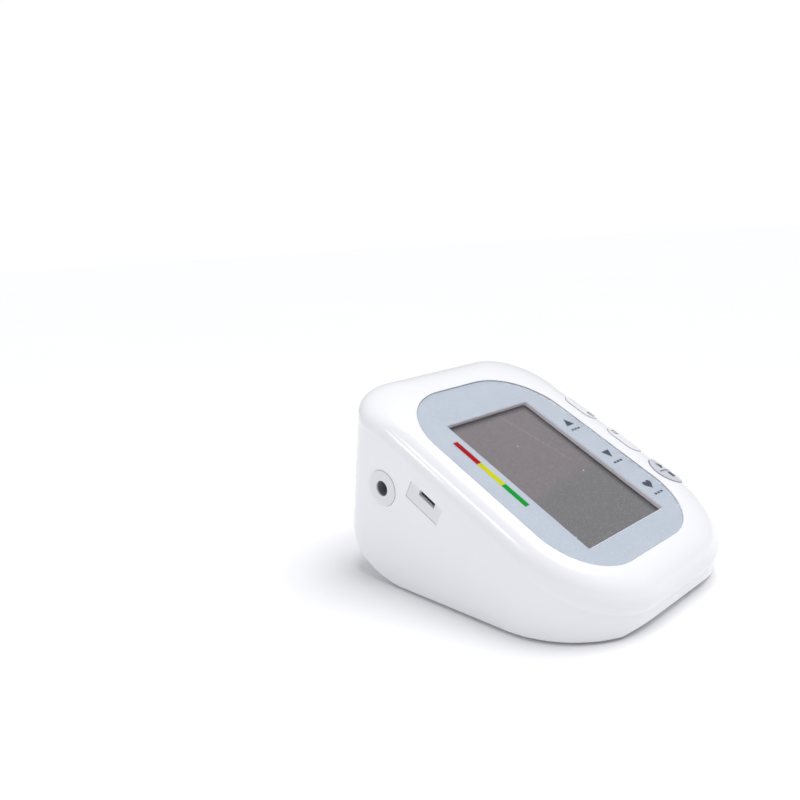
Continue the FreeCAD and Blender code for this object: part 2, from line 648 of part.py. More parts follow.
holder = new_body("lcd_frame")
half_x = d.glass_width / 2 + d.glass_gap
half_y = d.glass_length / 2 + d.glass_gap
holder_top = glass_top + d.holder_drop
pad_down(holder, "holder", holder_top, d.board_depth - holder_top,
         *rectangle(half_x + d.frame_wall, half_y + d.frame_wall, d.holder_round))
pocket_down(holder, "holder_seat", holder_top, d.glass_thick - d.holder_drop,
            *rectangle(half_x, half_y, d.glass_round + d.glass_gap))
pocket_down(holder, "holder_opening", holder_top, d.board_depth,
            *rectangle(half_x - d.frame_ledge, half_y - d.frame_ledge, d.glass_round))
node("lcd_frame", holder, panel=True)

strips = []
strip_half = d.glass_width / 2 - d.strip_end
for side in (-1, 1):
    middle = (reflector_half + d.strip_offset) * side
    strips.append(box(f"strip_{side + 1}", -strip_half, strip_half, middle - d.strip_thick / 2,
                      middle + d.strip_thick / 2, -d.board_depth, -glass_back))
node("contact_strips", group("contact_strips", *strips), panel=True)

# Main board with what is soldered to it

board = new_body("board_plate")
pad_down(board, "board", d.board_depth, d.board_thick, d.board_left, d.board_right,
         d.board_front, board_rear, d.board_front_round, d.board_rear_round)
board_holes = [rod(f"board_hole_{k}", "z", d.board_screw_radius + 0.3, x, y, -board_back - 1,
                   as_size(4)) for k, (x, y) in enumerate(post_spots)]
node("main_board", cut("main_board", board, *board_holes), panel=True)

board_screws = []
for k, (x, y) in enumerate(post_spots):
    head_face = -board_back - d.board_screw_high
    head = rod(f"board_screw_head_{k}", "z", d.board_screw_head, x, y, head_face,
               d.board_screw_high)
    shank = rod(f"board_screw_shank_{k}", "z", d.board_screw_radius, x, y, -board_back,
                d.board_thick + d.board_screw_bite)
    half_drive = d.board_screw_drive / 2
    half_slot = d.board_drive_width / 2
    drive = box(f"board_screw_drive_{k}", x - half_drive, x + half_drive, y - half_slot,
                y + half_slot, head_face - 1, head_face + d.board_drive_deep)
    cross = box(f"board_screw_cross_{k}", x - half_slot, x + half_slot, y - half_drive,
                y + half_drive, head_face - 1, head_face + d.board_drive_deep)
    board_screws.append(cut(f"board_screw_{k}", join(f"board_screw_raw_{k}", head, shank),
                            drive, cross))
node("board_screws", group("board_screws", *board_screws), panel=True)

chip_top = -board_back - d.chip_height
chips = [
    box("controller_chip", d.chip_x, d.chip_x + d.chip_side, d.chip_y, d.chip_y + d.chip_side,
        chip_top, -board_back),
    box("driver_chip", d.driver_x, d.driver_x + d.driver_length, d.driver_y,
        d.driver_y + d.driver_width, chip_top, -board_back),
    box("memory_chip", d.store_x, d.store_x + d.store_length, d.store_y,
        d.store_y + d.store_width, chip_top, -board_back)]
node("board_chips", group("board_chips", *chips), panel=True)

capacitors = [rod(f"capacitor_{k}", "z", d.capacitor_radius, d.capacitor_x + d.capacitor_pitch * k,
                  d.capacitor_y, -board_back - d.capacitor_height, d.capacitor_height)
              for k in (0, 1)]
node("board_capacitors", group("board_capacitors", *capacitors), panel=True)

buzzer_rim = rod("buzzer_rim", "z", d.buzzer_radius, d.buzzer_x, d.buzzer_y,
                 -board_back - d.buzzer_height, d.buzzer_height)
buzzer_hole = rod("buzzer_hole", "z", d.buzzer_hole, d.buzzer_x, d.buzzer_y,
                  -board_back - d.buzzer_height - 1, d.buzzer_height / 2)
node("piezo_buzzer", cut("piezo_buzzer", buzzer_rim, buzzer_hole), panel=True)

tee_panel_x = case_x - d.tee_x
port_y = d.sensor_port_y
port_depth = board_back + d.sensor_port_drop
half_sensor = d.sensor_width / 2
sensor_block = box("sensor_block", tee_panel_x - half_sensor, tee_panel_x + half_sensor,
                   port_y - d.sensor_length, port_y, -board_back - d.sensor_height, -board_back)
sensor_port = rod("sensor_port", "y", d.spigot_radius, tee_panel_x, port_y - 0.5, -port_depth,
                  d.spigot_length + 0.5)
sensor_bore = rod("sensor_bore", "y", d.spigot_bore, tee_panel_x, port_y - 4, -port_depth,
                  d.spigot_length + 6)
node("pressure_sensor", cut("pressure_sensor", join("sensor_raw", sensor_block, sensor_port),
                            sensor_bore), panel=True)

# Charging socket under the board's left edge and the port plate in the case wall

slot_mid = plate_y + d.slot_offset
plate_out = left_wall + d.plate_sink
usb_left = plate_out + d.plate_thick + d.fit_gap
usb_outer = box("usb_outer", usb_left, usb_left + d.usb_length, slot_mid - d.slot_length / 2,
                slot_mid + d.slot_length / 2, -plate_top - d.slot_height, -plate_top)
usb_space = box("usb_space", usb_left - 1, usb_left + d.usb_length - 1,
                slot_mid - d.slot_length / 2 + d.usb_shell,
                slot_mid + d.slot_length / 2 - d.usb_shell,
                -plate_top - d.slot_height + d.usb_shell, -plate_top - d.usb_shell)
usb_tongue = box("usb_tongue", usb_left + 0.6, usb_left + d.usb_length - 0.5, slot_mid - 3.0,
                 slot_mid + 3.0, -plate_top - d.slot_height / 2 - 0.1,
                 -plate_top - d.slot_height / 2 + 0.5)
usb_shell = cut("usb_shell_cut", usb_outer, usb_space)
node("usb_socket", join("usb_socket", usb_shell, usb_tongue), panel=True)

plate_face = box("plate_face", plate_out, plate_out + d.plate_thick, plate_front + d.fit_gap,
                 plate_rear - d.fit_gap, -plate_top - d.plate_height + d.fit_gap,
                 -plate_top - d.fit_gap)
plate_flange = box("plate_flange", left_wall + d.wall + 0.05, left_wall + d.wall + 1.0,
                   plate_front - 1.5, plate_rear + 1.5, -plate_top - d.plate_height - 1.5,
                   -plate_top - d.slot_height - 1.0)
plate_web = box("plate_web", plate_out + d.plate_thick - 0.1, left_wall + d.wall + 1.0,
                plate_front + d.fit_gap, plate_rear - d.fit_gap,
                -plate_top - d.plate_height + d.fit_gap, -plate_top - d.slot_height - 1.0)
plate_slot = box("plate_slot", plate_out - 1, plate_out + 4, slot_mid - d.slot_length / 2,
                 slot_mid + d.slot_length / 2, -plate_top - d.slot_height, -plate_top + 1)
node("usb_port_plate", cut("usb_port_plate", join("plate_raw", plate_face, plate_flange,
                                                  plate_web), plate_slot), panel=True)

# Push buttons: caps that follow the cover surface, each on its own tact switch

proud_form = new_body("button_form")
roll_loft(proud_form, "form", "PartDesign::AdditiveLoft", as_size(0), as_size(0))
stem_end = d.board_depth - d.switch_height - d.plunger_show
flange_end = d.flange_depth + d.flange_thick


def button(name, column, y, half_length):
    form = doc.addObject("Part::Compound", name + "_form")
    form.Links = [proud_form]
    place(form, 0, 0, d.button_proud)
    cap = common(name + "_cap", column, form)
    flange = box(name + "_flange", d.button_x - d.pill_width / 2 - d.flange_reach,
                 d.button_x + d.pill_width / 2 - 1.5, y - half_length - d.flange_reach,
                 y + half_length + d.flange_reach, -flange_end, -d.flange_depth)
    stem = rod(name + "_stem", "z", d.stem_radius, d.button_x, y, -stem_end, stem_end - flange_end
               + 0.2)
    return node(name, join(name, cap, flange, stem), panel=True)


button("set_button", pill_column("set_column", d.set_y, d.pill_width / 2, above, flange_end),
       d.set_y, d.pill_length / 2)
button("memory_button", pill_column("memory_column", d.memory_y, d.pill_width / 2, above,
                                    flange_end), d.memory_y, d.pill_length / 2)
button("start_button", start_column("start_column", d.start_radius, above, flange_end),
       d.start_y, d.start_radius)

switches = []
for name, y in (("set", d.set_y), ("memory", d.memory_y), ("start", d.start_y)):
    half = d.switch_side / 2
    case = box(f"{name}_switch_case", d.button_x - half, d.button_x + half, y - half, y + half,
               -d.board_depth, -d.board_depth + d.switch_height)
    well = rod(f"{name}_switch_well", "z", d.plunger_radius + d.plunger_gap, d.button_x, y,
               -d.board_depth + d.switch_height - d.plunger_deep - d.button_travel - 0.2,
               as_size(4))
    switches.append(cut(f"{name}_switch", case, well))
    plunger = rod(f"{name}_switch_plunger", "z", d.plunger_radius, d.button_x, y,
                  -d.board_depth + d.switch_height - d.plunger_deep,
                  d.plunger_show + d.plunger_deep)
    node(f"{name}_switch_plunger", group(f"{name}_plunger_piece", plunger), panel=True)
node("key_switches", group("key_switches", *switches), panel=True)

# Air socket in the left wall, the air line and its tee

ring_outer = left_face - d.ring_proud
ring = rod("socket_ring", "x", d.ring_radius, ring_outer, air_y, air_z, d.ring_thick)
barrel = rod("socket_barrel", "x", d.air_body, ring_outer, air_y, air_z, d.air_body_length)
barrel_end = ring_outer + d.air_body_length
socket_spigot = rod("socket_spigot", "x", d.spigot_radius, barrel_end - 0.5, air_y, air_z,
                    d.spigot_length + 0.5)
socket_bore = rod("socket_bore", "x", d.air_bore, ring_outer - 1, air_y, air_z,
                  d.air_bore_length + 1)
socket_path = rod("socket_path", "x", d.spigot_bore, ring_outer, air_y, air_z,
                  d.air_body_length + d.spigot_length + 1)
node("air_socket", cut("air_socket", join("socket_raw", ring, barrel, socket_spigot),
                       socket_bore, socket_path))

nut_outer = rod("nut_outer", "x", d.air_body + d.nut_rim, left_face + d.wall + d.nut_stand, air_y,
                air_z, d.nut_thick)
nut_hole = rod("nut_hole", "x", d.air_body + 0.1, left_face, air_y, air_z, as_size(8))
node("air_socket_nut", cut("air_socket_nut", nut_outer, nut_hole))

half_tee = d.tee_side / 2
tee_block = box("tee_block", -d.tee_x - half_tee, -d.tee_x + half_tee, air_y - half_tee,
                air_y + half_tee, air_z - half_tee, air_z + half_tee)
tee_arm = half_tee + d.spigot_length
tee_across = rod("tee_across", "x", d.spigot_radius, -d.tee_x - tee_arm, air_y, air_z,
                 tee_arm * 2)
tee_front = rod("tee_front", "y", d.spigot_radius, -d.tee_x, air_y - tee_arm, air_z, tee_arm)
tee_down = rod("tee_down", "z", d.spigot_radius, -d.tee_x, air_y, air_z - tee_arm, tee_arm)
tee_bores = [
    rod("tee_bore_x", "x", d.spigot_bore, -d.tee_x - tee_arm - 1, air_y, air_z,
        tee_arm * 2 + 2),
    rod("tee_bore_y", "y", d.spigot_bore, -d.tee_x, air_y - tee_arm - 1, air_z, tee_arm + 1),
    rod("tee_bore_z", "z", d.spigot_bore, -d.tee_x, air_y, air_z - tee_arm - 1, tee_arm + 1)]
node("air_tee", cut("air_tee", join("tee_raw", tee_block, tee_across, tee_front, tee_down),
                    *tee_bores))


def route(points, bend):
    """A path of straight runs joined by tangent arcs, each at most half a run long."""
    points = [Vec(*p) for p in points]
    edges = []
    start = points[0]

    def run_to(end):
        if start.distanceToPoint(end) > 1e-6:
            edges.append(Part.LineSegment(start, end).toShape())

    for before, corner, after in zip(points, points[1:], points[2:]):
        shorter = min(before.distanceToPoint(corner), after.distanceToPoint(corner))
        back = (before - corner).normalize()
        ahead = (after - corner).normalize()
        half_angle = back.getAngle(ahead) / 2
        reach = min(bend / math.tan(half_angle), shorter / 2)
        radius = reach * math.tan(half_angle)
        first = corner + back * reach
        last = corner + ahead * reach
        middle_way = (back + ahead).normalize()
        middle = corner + middle_way * (radius / math.sin(half_angle) - radius)
        run_to(first)
        edges.append(Part.Arc(first, middle, last).toShape())
        start = last
    run_to(points[-1])
    return Part.Wire(edges)


def swept(path, radius):
    first = path.Edges[0]
    start = first.valueAt(first.FirstParameter)
    heading = first.tangentAt(first.FirstParameter)
    section = Part.Wire([Part.makeCircle(radius, start, heading)])
    return path.makePipeShell([section], True)


def tube(name, points):
    path = route([[as_size(c).value for c in p] for p in points], d.tube_bend.value)
    piece = doc.addObject("Part::Feature", name)
    piece.Shape = swept(path, d.tube_radius.value).cut(swept(path, d.tube_bore.value))
    return node(name, piece)


slack = d.tube_slack
tube("socket_tube", [(barrel_end + slack, air_y, air_z),
                     (-d.tee_x - half_tee - slack, air_y, air_z)])
pump_nozzle = d.pump_left - d.spigot_length
tube("pump_tube", [(-d.tee_x + half_tee + slack, air_y, air_z),
                   (d.pump_left - slack, air_y, air_z)])
port_start = port_y + slack
port_turn = panel_y(port_y, port_depth) + (air_z - panel_z(port_y, port_depth)) * (
    cos_tilt / sin_tilt)
tube("sensor_tube", [
    (-d.tee_x, panel_y(port_start, port_depth), panel_z(port_start, port_depth)),
    (-d.tee_x, port_turn, air_z), (-d.tee_x, air_y - half_tee - slack, air_z)])
valve_end = d.valve_y + d.valve_length
valve_rise = air_z - tee_arm - 7
tube("valve_tube", [
    (valve_x, valve_end + d.nozzle_plate + slack, d.valve_z), (valve_x, air_y, d.valve_z),
    (valve_x, air_y, valve_rise), (-d.tee_x, air_y, valve_rise),
    (-d.tee_x, air_y, air_z - half_tee - slack)])

# Diaphragm air pump lying across the rear: motor, rotor, housing, diaphragm and head


def pump_rod(name, radius, left, length):
    return rod(name, "x", radius, left, pump_y, pump_z, length)


housing_left = d.pump_left + d.head_length + d.diaphragm_thick
head_nozzle = rod("head_nozzle", "x", d.spigot_radius, pump_nozzle, air_y, air_z,
                  d.spigot_length + 2)
head_path = rod("head_path", "x", d.spigot_bore, pump_nozzle - 1, air_y, air_z,
                d.spigot_length + 5)
head_ring = pump_rod("head_ring", d.head_radius, d.pump_left, d.head_length)
head_space = pump_rod("head_space", d.head_radius - d.head_wall, d.pump_left + d.head_roof,
                      d.head_length)
node("pump_head", cut("pump_head", join("head_raw", head_ring, head_nozzle), head_space,
                      head_path))
node("pump_diaphragm", pump_rod("pump_diaphragm", d.head_radius, d.pump_left + d.head_length,
                                d.diaphragm_thick))

bearing = d.shaft_radius + d.bearing_gap
housing = cut(
    "pump_housing", pump_rod("housing_outer", d.housing_radius, housing_left, d.housing_length),
    pump_rod("housing_space", d.housing_radius - d.housing_wall, housing_left - 1,
             d.housing_length - d.housing_floor + 1),
    pump_rod("housing_hole", bearing + 0.5, housing_left, d.housing_length + 1))
node("pump_housing", housing)
motor_end = motor_left + d.motor_length
motor = cut(
    "pump_motor", pump_rod("motor_outer", d.motor_radius, motor_left, d.motor_length),
    pump_rod("motor_space", d.motor_radius - d.motor_wall, motor_left + d.motor_wall,
             d.motor_length),
    pump_rod("motor_hole", bearing, motor_left - 1, as_size(4)))
node("pump_motor", motor)
magnet = cut(
    "pump_magnet", pump_rod("magnet_outer", d.motor_radius - d.motor_wall - 0.05,
                            motor_left + d.magnet_inset, d.motor_length - d.magnet_inset * 2),
    pump_rod("magnet_hole", d.armature_radius + d.magnet_gap, motor_left, d.motor_length))
node("pump_magnet", magnet)
tag_low = pump_z + d.tag_rise
tag_top = tag_low + d.tag_thick
tag_end = motor_end + d.cap_length + d.tag_length
cap_raw = join(
    "cap_raw", pump_rod("cap_disc", d.motor_radius - 0.4, motor_end, d.cap_length),
    box("cap_tag_0", motor_end + 1, tag_end, pump_y - d.tag_far, pump_y - d.tag_near, tag_low,
        tag_top),
    box("cap_tag_1", motor_end + 1, tag_end, pump_y + d.tag_near, pump_y + d.tag_far, tag_low,
        tag_top))
node("pump_end_cap", cut("pump_end_cap", cap_raw, pump_rod("cap_hole", bearing, motor_end - 1,
                                                           d.cap_length)))
shaft_left = housing_left + d.shaft_inset
rotor_pieces = [
    pump_rod("rotor_shaft", d.shaft_radius, shaft_left, motor_end + 1 - shaft_left),
    pump_rod("rotor_core", d.armature_radius, motor_left + d.core_inset,
             d.motor_length - d.core_inset * 2),
    pump_rod("rotor_commutator", d.commutator_radius, motor_end - d.core_inset,
             d.commutator_length),
    rod("rotor_crank", "x", d.crank_radius, shaft_left, pump_y, pump_z + d.crank_throw,
        d.crank_length)]
node("pump_rotor", join("pump_rotor", *rotor_pieces))
sleeve = cut("pump_sleeve", pump_rod("sleeve_outer", sleeve_radius, sleeve_left, d.sleeve_length),
             pump_rod("sleeve_hole", d.motor_radius, sleeve_left - 1, d.sleeve_length + 2))
node("pump_sleeve", sleeve)

# Release valve: an iron yoke, a coil, a sprung plunger and the nozzle it closes

half_valve = d.valve_width / 2
yoke = [
    box("yoke_floor", valve_x - half_valve, valve_x + half_valve, d.valve_y, valve_end,
        d.valve_z - half_valve, d.valve_z - half_valve + d.yoke_thick),
    box("yoke_front", valve_x - half_valve, valve_x + half_valve, d.valve_y,
        d.valve_y + d.yoke_thick, d.valve_z - half_valve, d.valve_z + half_valve),
    box("yoke_rear", valve_x - half_valve, valve_x + half_valve, valve_end - d.yoke_thick,
        valve_end, d.valve_z - half_valve, d.valve_z + half_valve)]


def valve_rod(name, radius, start, length):
    return rod(name, "y", radius, valve_x, start, d.valve_z, length)


core_bore = d.core_radius + d.core_gap
node("valve_yoke", cut("valve_yoke", join("yoke_raw", *yoke), valve_rod(
    "yoke_hole", core_bore, d.valve_y - 1, d.valve_length + 2)))
coil_front = d.valve_y + d.yoke_thick
coil_length = d.valve_length - d.yoke_thick * 2
bobbin_ends = (coil_front, coil_front + coil_length - d.bobbin_wall)
bobbin_flanges = [valve_rod(f"bobbin_flange_{k}", d.coil_radius, start, d.bobbin_wall)
                  for k, start in enumerate(bobbin_ends)]
bobbin_core = valve_rod("bobbin_core", d.core_radius + d.bobbin_wall, coil_front, coil_length)
node("valve_bobbin", cut("valve_bobbin", join("bobbin_raw", bobbin_core, *bobbin_flanges),
                         valve_rod("bobbin_bore", core_bore, coil_front - 1, coil_length + 2)))
winding_outer = valve_rod("winding_outer", d.coil_radius - d.winding_sink,
                          coil_front + d.bobbin_wall, coil_length - d.bobbin_wall * 2)
winding_hole = valve_rod("winding_hole", d.core_radius + d.bobbin_wall, coil_front, coil_length)
node("valve_coil", cut("valve_coil", winding_outer, winding_hole))
plunger_front = d.valve_y - d.plunger_reach
plunger_rear = valve_end - d.yoke_thick - 0.2
plunger_head = valve_rod("plunger_head", d.core_radius + d.plunger_rim,
                         plunger_front - d.plunger_plate, d.plunger_plate)
plunger_bar = valve_rod("plunger_bar", d.core_radius, plunger_front - 0.1,
                        plunger_rear - plunger_front - d.valve_travel)
node("valve_plunger", join("valve_plunger", plunger_bar, plunger_head))


def coil_spring(name, radius, wire, gap, foot, forward):
    """A wound spring along Y that fills a gap from its foot, forward in +Y or back in -Y."""
    corners = range(3 * 8 + 1)
    eighth = math.pi / 4
    seat = wire + 0.1
    rise = (gap - seat * 2).value / (len(corners) - 1)
    corner_radius = radius.value / math.cos(eighth / 2)
    x, y, z = (c.value for c in foot)
    way = 1 if forward else -1
    points = [(x + corner_radius * math.cos(eighth * k), y + way * (seat.value + rise * k),
               z + corner_radius * math.sin(eighth * k)) for k in corners]
    spring = doc.addObject("Part::Feature", name)
    spring.Shape = swept(route(points, corner_radius), wire.value)
    return spring


node("valve_spring", coil_spring("valve_spring", d.core_radius + d.valve_spring_gap, d.valve_wire,
                                 d.plunger_reach, (valve_x, plunger_front, d.valve_z),
                                 forward=True))
nozzle_flange = valve_rod("nozzle_flange", d.core_radius + d.nozzle_rim, valve_end, d.nozzle_plate)
nozzle_pipe = valve_rod("nozzle_pipe", d.spigot_radius, valve_end + 1, d.spigot_length + 1)
nozzle_seat = valve_rod("nozzle_seat", d.core_radius - d.nozzle_seat_gap, valve_end - d.yoke_thick,
                        d.yoke_thick + 0.5)
node("valve_nozzle", cut("valve_nozzle", join("nozzle_raw", nozzle_flange, nozzle_pipe,
                                              nozzle_seat),
                         valve_rod("nozzle_bore", d.spigot_bore, valve_end - 3,
                                   d.spigot_length + 8)))

# Battery bay: four cells, their springs and plates, and the hooked door


def cell(k):
    x = cell_pitch * (k - 1.5)
    turned = k % 2 == 1
    middle_z = base_top + d.cell_lift + d.cell_radius
    front = bay_front + (d.contact_room if turned else d.nub_room + d.cell_nub)
    nub_start = front + d.cell_length - 0.1 if turned else front - d.cell_nub
    can = rod(f"cell_can_{k}", "y", d.cell_radius, x, front, middle_z, d.cell_length)
    nub = rod(f"cell_nub_{k}", "y", d.nub_radius, x, nub_start, middle_z, d.cell_nub + 0.1)
    return join(f"cell_{k}", can, nub), x, middle_z, front, turned


cells = [cell(k) for k in range(4)]
node("battery_cells", group("battery_cells", *(c[0] for c in cells)))

contact = d.contact_thick
half_contact = d.contact_side / 2
plates = []
springs = []
for k, (_, x, middle_z, front, turned) in enumerate(cells):
    for at_rear in (False, True):
        y0 = bay_rear - contact if at_rear else bay_front
        plates.append(box(f"contact_{k}_{int(at_rear)}", x - half_contact,
                          x + half_contact, y0, y0 + contact, middle_z - half_contact,
                          middle_z + half_contact))
    if turned:
        foot = bay_front + contact
        gap = front - foot
    else:
        foot = bay_rear - contact
        gap = foot - front - d.cell_length
    spring = coil_spring(f"battery_spring_{k}", d.contact_spring, d.contact_wire, gap,
                         (x, foot, middle_z), forward=turned)
    springs.append(spring)
node("battery_contacts", group("battery_contacts", *plates))
node("battery_springs", group("battery_springs", *springs))

door_side = bay_half + d.door_margin - d.door_gap
door_front = bay_front - d.door_margin + d.door_gap
door_rear = bay_rear + d.door_margin - d.door_gap
door_top = d.foot_height + d.door_thick
door_raw = [box("door_plate", -door_side, door_side, door_front, door_rear, d.foot_height,
                door_top)]
hook_low = base_top + d.hook_lift
for side in (-1, 1):
    x0 = d.hook_x * side - d.hook_width / 2
    x1 = d.hook_x * side + d.hook_width / 2
    door_raw.append(box(f"hook_riser_{side + 1}", x0, x1, door_front, door_front + d.hook_root,
                        d.foot_height + 1, hook_low + d.hook_thick))
    door_raw.append(box(f"hook_tab_{side + 1}", x0, x1, door_front - d.hook_reach, door_front + 1,
                        hook_low, hook_low + d.hook_thick))
thumb = rod("door_thumb", "x", d.thumb_radius, -d.thumb_length / 2, door_rear - d.thumb_inset,
            d.foot_height - d.thumb_drop, d.thumb_length)
grips = []
for k in range(3):
    grip_rear = door_rear - d.grip_inset - d.grip_pitch * k
    grips.append(box(f"door_grip_{k}", -d.grip_length / 2, d.grip_length / 2,
                     grip_rear - d.grip_width, grip_rear, d.foot_height - 0.2,
                     d.foot_height + d.grip_deep))
door_skin = profile_prism("door_skin", d.parting_gap, as_size(0))
node("battery_door", cut("battery_door", common("door_trimmed", join("door_raw", *door_raw),
                                                door_skin), thumb, *grips))

# Feet and case screws

feet = [rod(f"foot_{k}", "z", d.foot_radius, x, y, 0, d.foot_height + d.foot_sink)
        for k, (x, y) in enumerate(foot_spots)]
node("rubber_feet", group("rubber_feet", *feet))

screws = []
for k, (x, y, top) in enumerate(tower_spots):
    seat = top - d.tower_roof
    head_face = seat - d.screw_head_high
    head = rod(f"screw_head_{k}", "z", d.screw_head, x, y, head_face, d.screw_head_high)
    shank = rod(f"screw_shank_{k}", "z", d.screw_radius, x, y, seat - 0.1, d.screw_length)
    half_drive = d.screw_drive / 2
    half_slot = d.drive_width / 2
    drive = box(f"screw_drive_{k}", x - half_drive, x + half_drive, y - half_slot, y + half_slot,
                head_face - 1, head_face + d.drive_deep)
    cross = box(f"screw_cross_{k}", x - half_slot, x + half_slot, y - half_drive, y + half_drive,
                head_face - 1, head_face + d.drive_deep)
    screws.append(cut(f"screw_{k}", join(f"screw_raw_{k}", head, shank), drive, cross))
node("case_screws", group("case_screws", *screws))

# Leads from the cells, the motor and the coil up to the board


def lead_pair(name, paths):
    pieces = []
    for k, points in enumerate(paths):
        path = route([[as_size(c).value for c in p] for p in points], d.lead_bend.value)
        piece = doc.addObject("Part::Feature", f"{name}_{k}")
        piece.Shape = swept(path, d.lead_radius.value)
        pieces.append(piece)
    return node(name, group(name, *pieces))


def board_under(panel_y_size, gap=0.05):
    depth = board_back + gap
    return panel_y(panel_y_size, depth), panel_z(panel_y_size, depth)


def board_below(y):
    """Height of the board's under face over a point of the footprint."""
    return d.window_height + (y + case_y) * sin_tilt / cos_tilt - board_back / cos_tilt


battery_y, battery_z = board_under(as_size(-8))
lead_pair("battery_leads", [
    [(x, battery_y, bay_roof + d.lead_radius + 0.1), (x, battery_y, battery_z - 0.4)]
    for x in (as_size(24), as_size(27))])
tag_x = tag_end - 1
tag_z = tag_top + 0.05
tag_middle = (d.tag_near + d.tag_far) / 2
near_y = pump_y - tag_middle
far_y = pump_y + tag_middle
turn_y = near_y + 3.0
lead_pair("pump_leads", [
    [(tag_x, near_y, tag_z), (tag_x, near_y, board_below(near_y) - 0.7)],
    [(tag_x, far_y, tag_z), (tag_x, far_y, board_below(turn_y) - 7),
     (tag_x, turn_y, board_below(turn_y) - 4.5), (tag_x, turn_y, board_below(turn_y) - 0.7)]])
coil_y, coil_z = board_under(as_size(4))
coil_x = -d.tee_x - half_sensor - d.lead_clear
lead_pair("valve_leads", [
    [(valve_x + side * 2, d.valve_y + 5 + side, d.valve_z + d.coil_radius),
     (valve_x + side * 2, d.valve_y + 5 + side, d.valve_z + d.coil_radius + 5),
     (coil_x + side * 2, coil_y + side, coil_z - 8),
     (coil_x + side * 2, coil_y + side, coil_z - 0.8)] for side in (-1, 1)])

# Check every piece and write it out

doc.recompute()
for thing in doc.Objects:
    if "Invalid" in thing.State or "Error" in thing.State:
        raise RuntimeError(f"{thing.Name}: {thing.State}")
for name, thing in nodes.items():
    shape = thing.Shape
    if shape.isNull() or not shape.isValid() or not shape.Solids:
        raise RuntimeError(f"{name} has no sound solid")
    shape.exportStep(f"parts/{name}.step")
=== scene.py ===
import json
import math

import bmesh
import bpy
from mathutils import Matrix, Vector
from mathutils.bvhtree import BVHTree


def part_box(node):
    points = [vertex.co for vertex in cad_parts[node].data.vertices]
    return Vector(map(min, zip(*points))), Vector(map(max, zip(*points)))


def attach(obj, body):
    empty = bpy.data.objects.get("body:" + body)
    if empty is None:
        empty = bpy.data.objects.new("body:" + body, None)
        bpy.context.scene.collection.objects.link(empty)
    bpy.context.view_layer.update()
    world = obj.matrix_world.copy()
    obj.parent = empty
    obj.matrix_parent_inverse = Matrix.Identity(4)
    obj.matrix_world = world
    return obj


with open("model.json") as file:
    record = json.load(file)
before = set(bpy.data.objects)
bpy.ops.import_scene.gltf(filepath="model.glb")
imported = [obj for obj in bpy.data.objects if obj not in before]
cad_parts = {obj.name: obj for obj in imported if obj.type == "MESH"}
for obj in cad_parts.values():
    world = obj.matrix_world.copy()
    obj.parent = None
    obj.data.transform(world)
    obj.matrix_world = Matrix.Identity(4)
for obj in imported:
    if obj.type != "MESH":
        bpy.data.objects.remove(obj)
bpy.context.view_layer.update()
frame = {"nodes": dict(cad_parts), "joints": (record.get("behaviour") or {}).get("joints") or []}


# Lower shell: the wedge-shaped half that carries everything, injection moulded in white ABS.
# The tool is polished, so the skin is glossy, with a faint orange peel and a few soft rub marks.

MM = 0.001


def linear(colour):
    """An sRGB hex colour as linear red, green, blue and alpha."""
    channels = [int(colour[k:k + 2], 16) / 255 for k in (1, 3, 5)]
    return [c / 12.92 if c <= 0.04045 else ((c + 0.055) / 1.055) ** 2.4 for c in channels] + [1.0]


def add(tree, kind, fields=None, values=None, links=None):
    """Adds a shader node, with its fields, its input values and the outputs that feed it."""
    node = tree.nodes.new("ShaderNode" + kind)
    for name, value in (fields or {}).items():
        setattr(node, name, value)
    for name, value in (values or {}).items():
        node.inputs[name].default_value = value
    for name, source in (links or {}).items():
        tree.links.new(source, node.inputs[name])
    return node


def surface(name, tones, patch, rough, grain, height, stretch=(1, 1, 1), shader=None):
    """A material in two tones that drift over patches, with a roughness range and a fine relief.
    Patch, grain and height are in millimetres; stretch draws the pattern out along an axis."""
    material = bpy.data.materials.new(name)
    material.use_nodes = True
    tree = material.node_tree
    bsdf = tree.nodes["Principled BSDF"]
    place = add(tree, "TexCoord")
    drawn = add(tree, "Mapping", values={"Scale": [1 / s for s in stretch]},
                links={"Vector": place.outputs["Object"]})
    drift = add(tree, "TexNoise", values={"Scale": 1 / (patch * MM), "Detail": 3.0},
                links={"Vector": drawn.outputs["Vector"]})
    tone = add(tree, "MixRGB", values={"Color1": linear(tones[0]), "Color2": linear(tones[1])},
               links={"Fac": drift.outputs["Fac"]})
    gloss = add(tree, "MapRange",
                values={"From Min": 0.3, "From Max": 0.7, "To Min": rough[0], "To Max": rough[1]},
                links={"Value": drift.outputs["Fac"]})
    relief = add(tree, "TexNoise", values={"Scale": 1 / (grain * MM), "Detail": 2.0},
                 links={"Vector": drawn.outputs["Vector"]})
    bump = add(tree, "Bump", values={"Distance": height * MM}, links={"Height": relief.outputs["Fac"]})
    tree.links.new(tone.outputs["Color"], bsdf.inputs["Base Color"])
    tree.links.new(gloss.outputs["Result"], bsdf.inputs["Roughness"])
    tree.links.new(bump.outputs["Normal"], bsdf.inputs["Normal"])
    for socket, value in (shader or {}).items():
        bsdf.inputs[socket].default_value = value
    return material


def dress(material, *names):
    """Gives frame nodes their finish."""
    for name in names:
        mesh = frame["nodes"][name].data
        mesh.materials.clear()
        mesh.materials.append(material)


def paint_over(material, mask, colour):
    """Lays a second colour on a material's tone where a mask says so."""
    tree = material.node_tree
    under = tree.nodes["Principled BSDF"].inputs["Base Color"].links[0].from_socket
    over = add(tree, "MixRGB", values={"Color2": linear(colour)}, links={"Fac": mask, "Color1": under})
    tree.links.new(over.outputs["Color"], tree.nodes["Principled BSDF"].inputs["Base Color"])


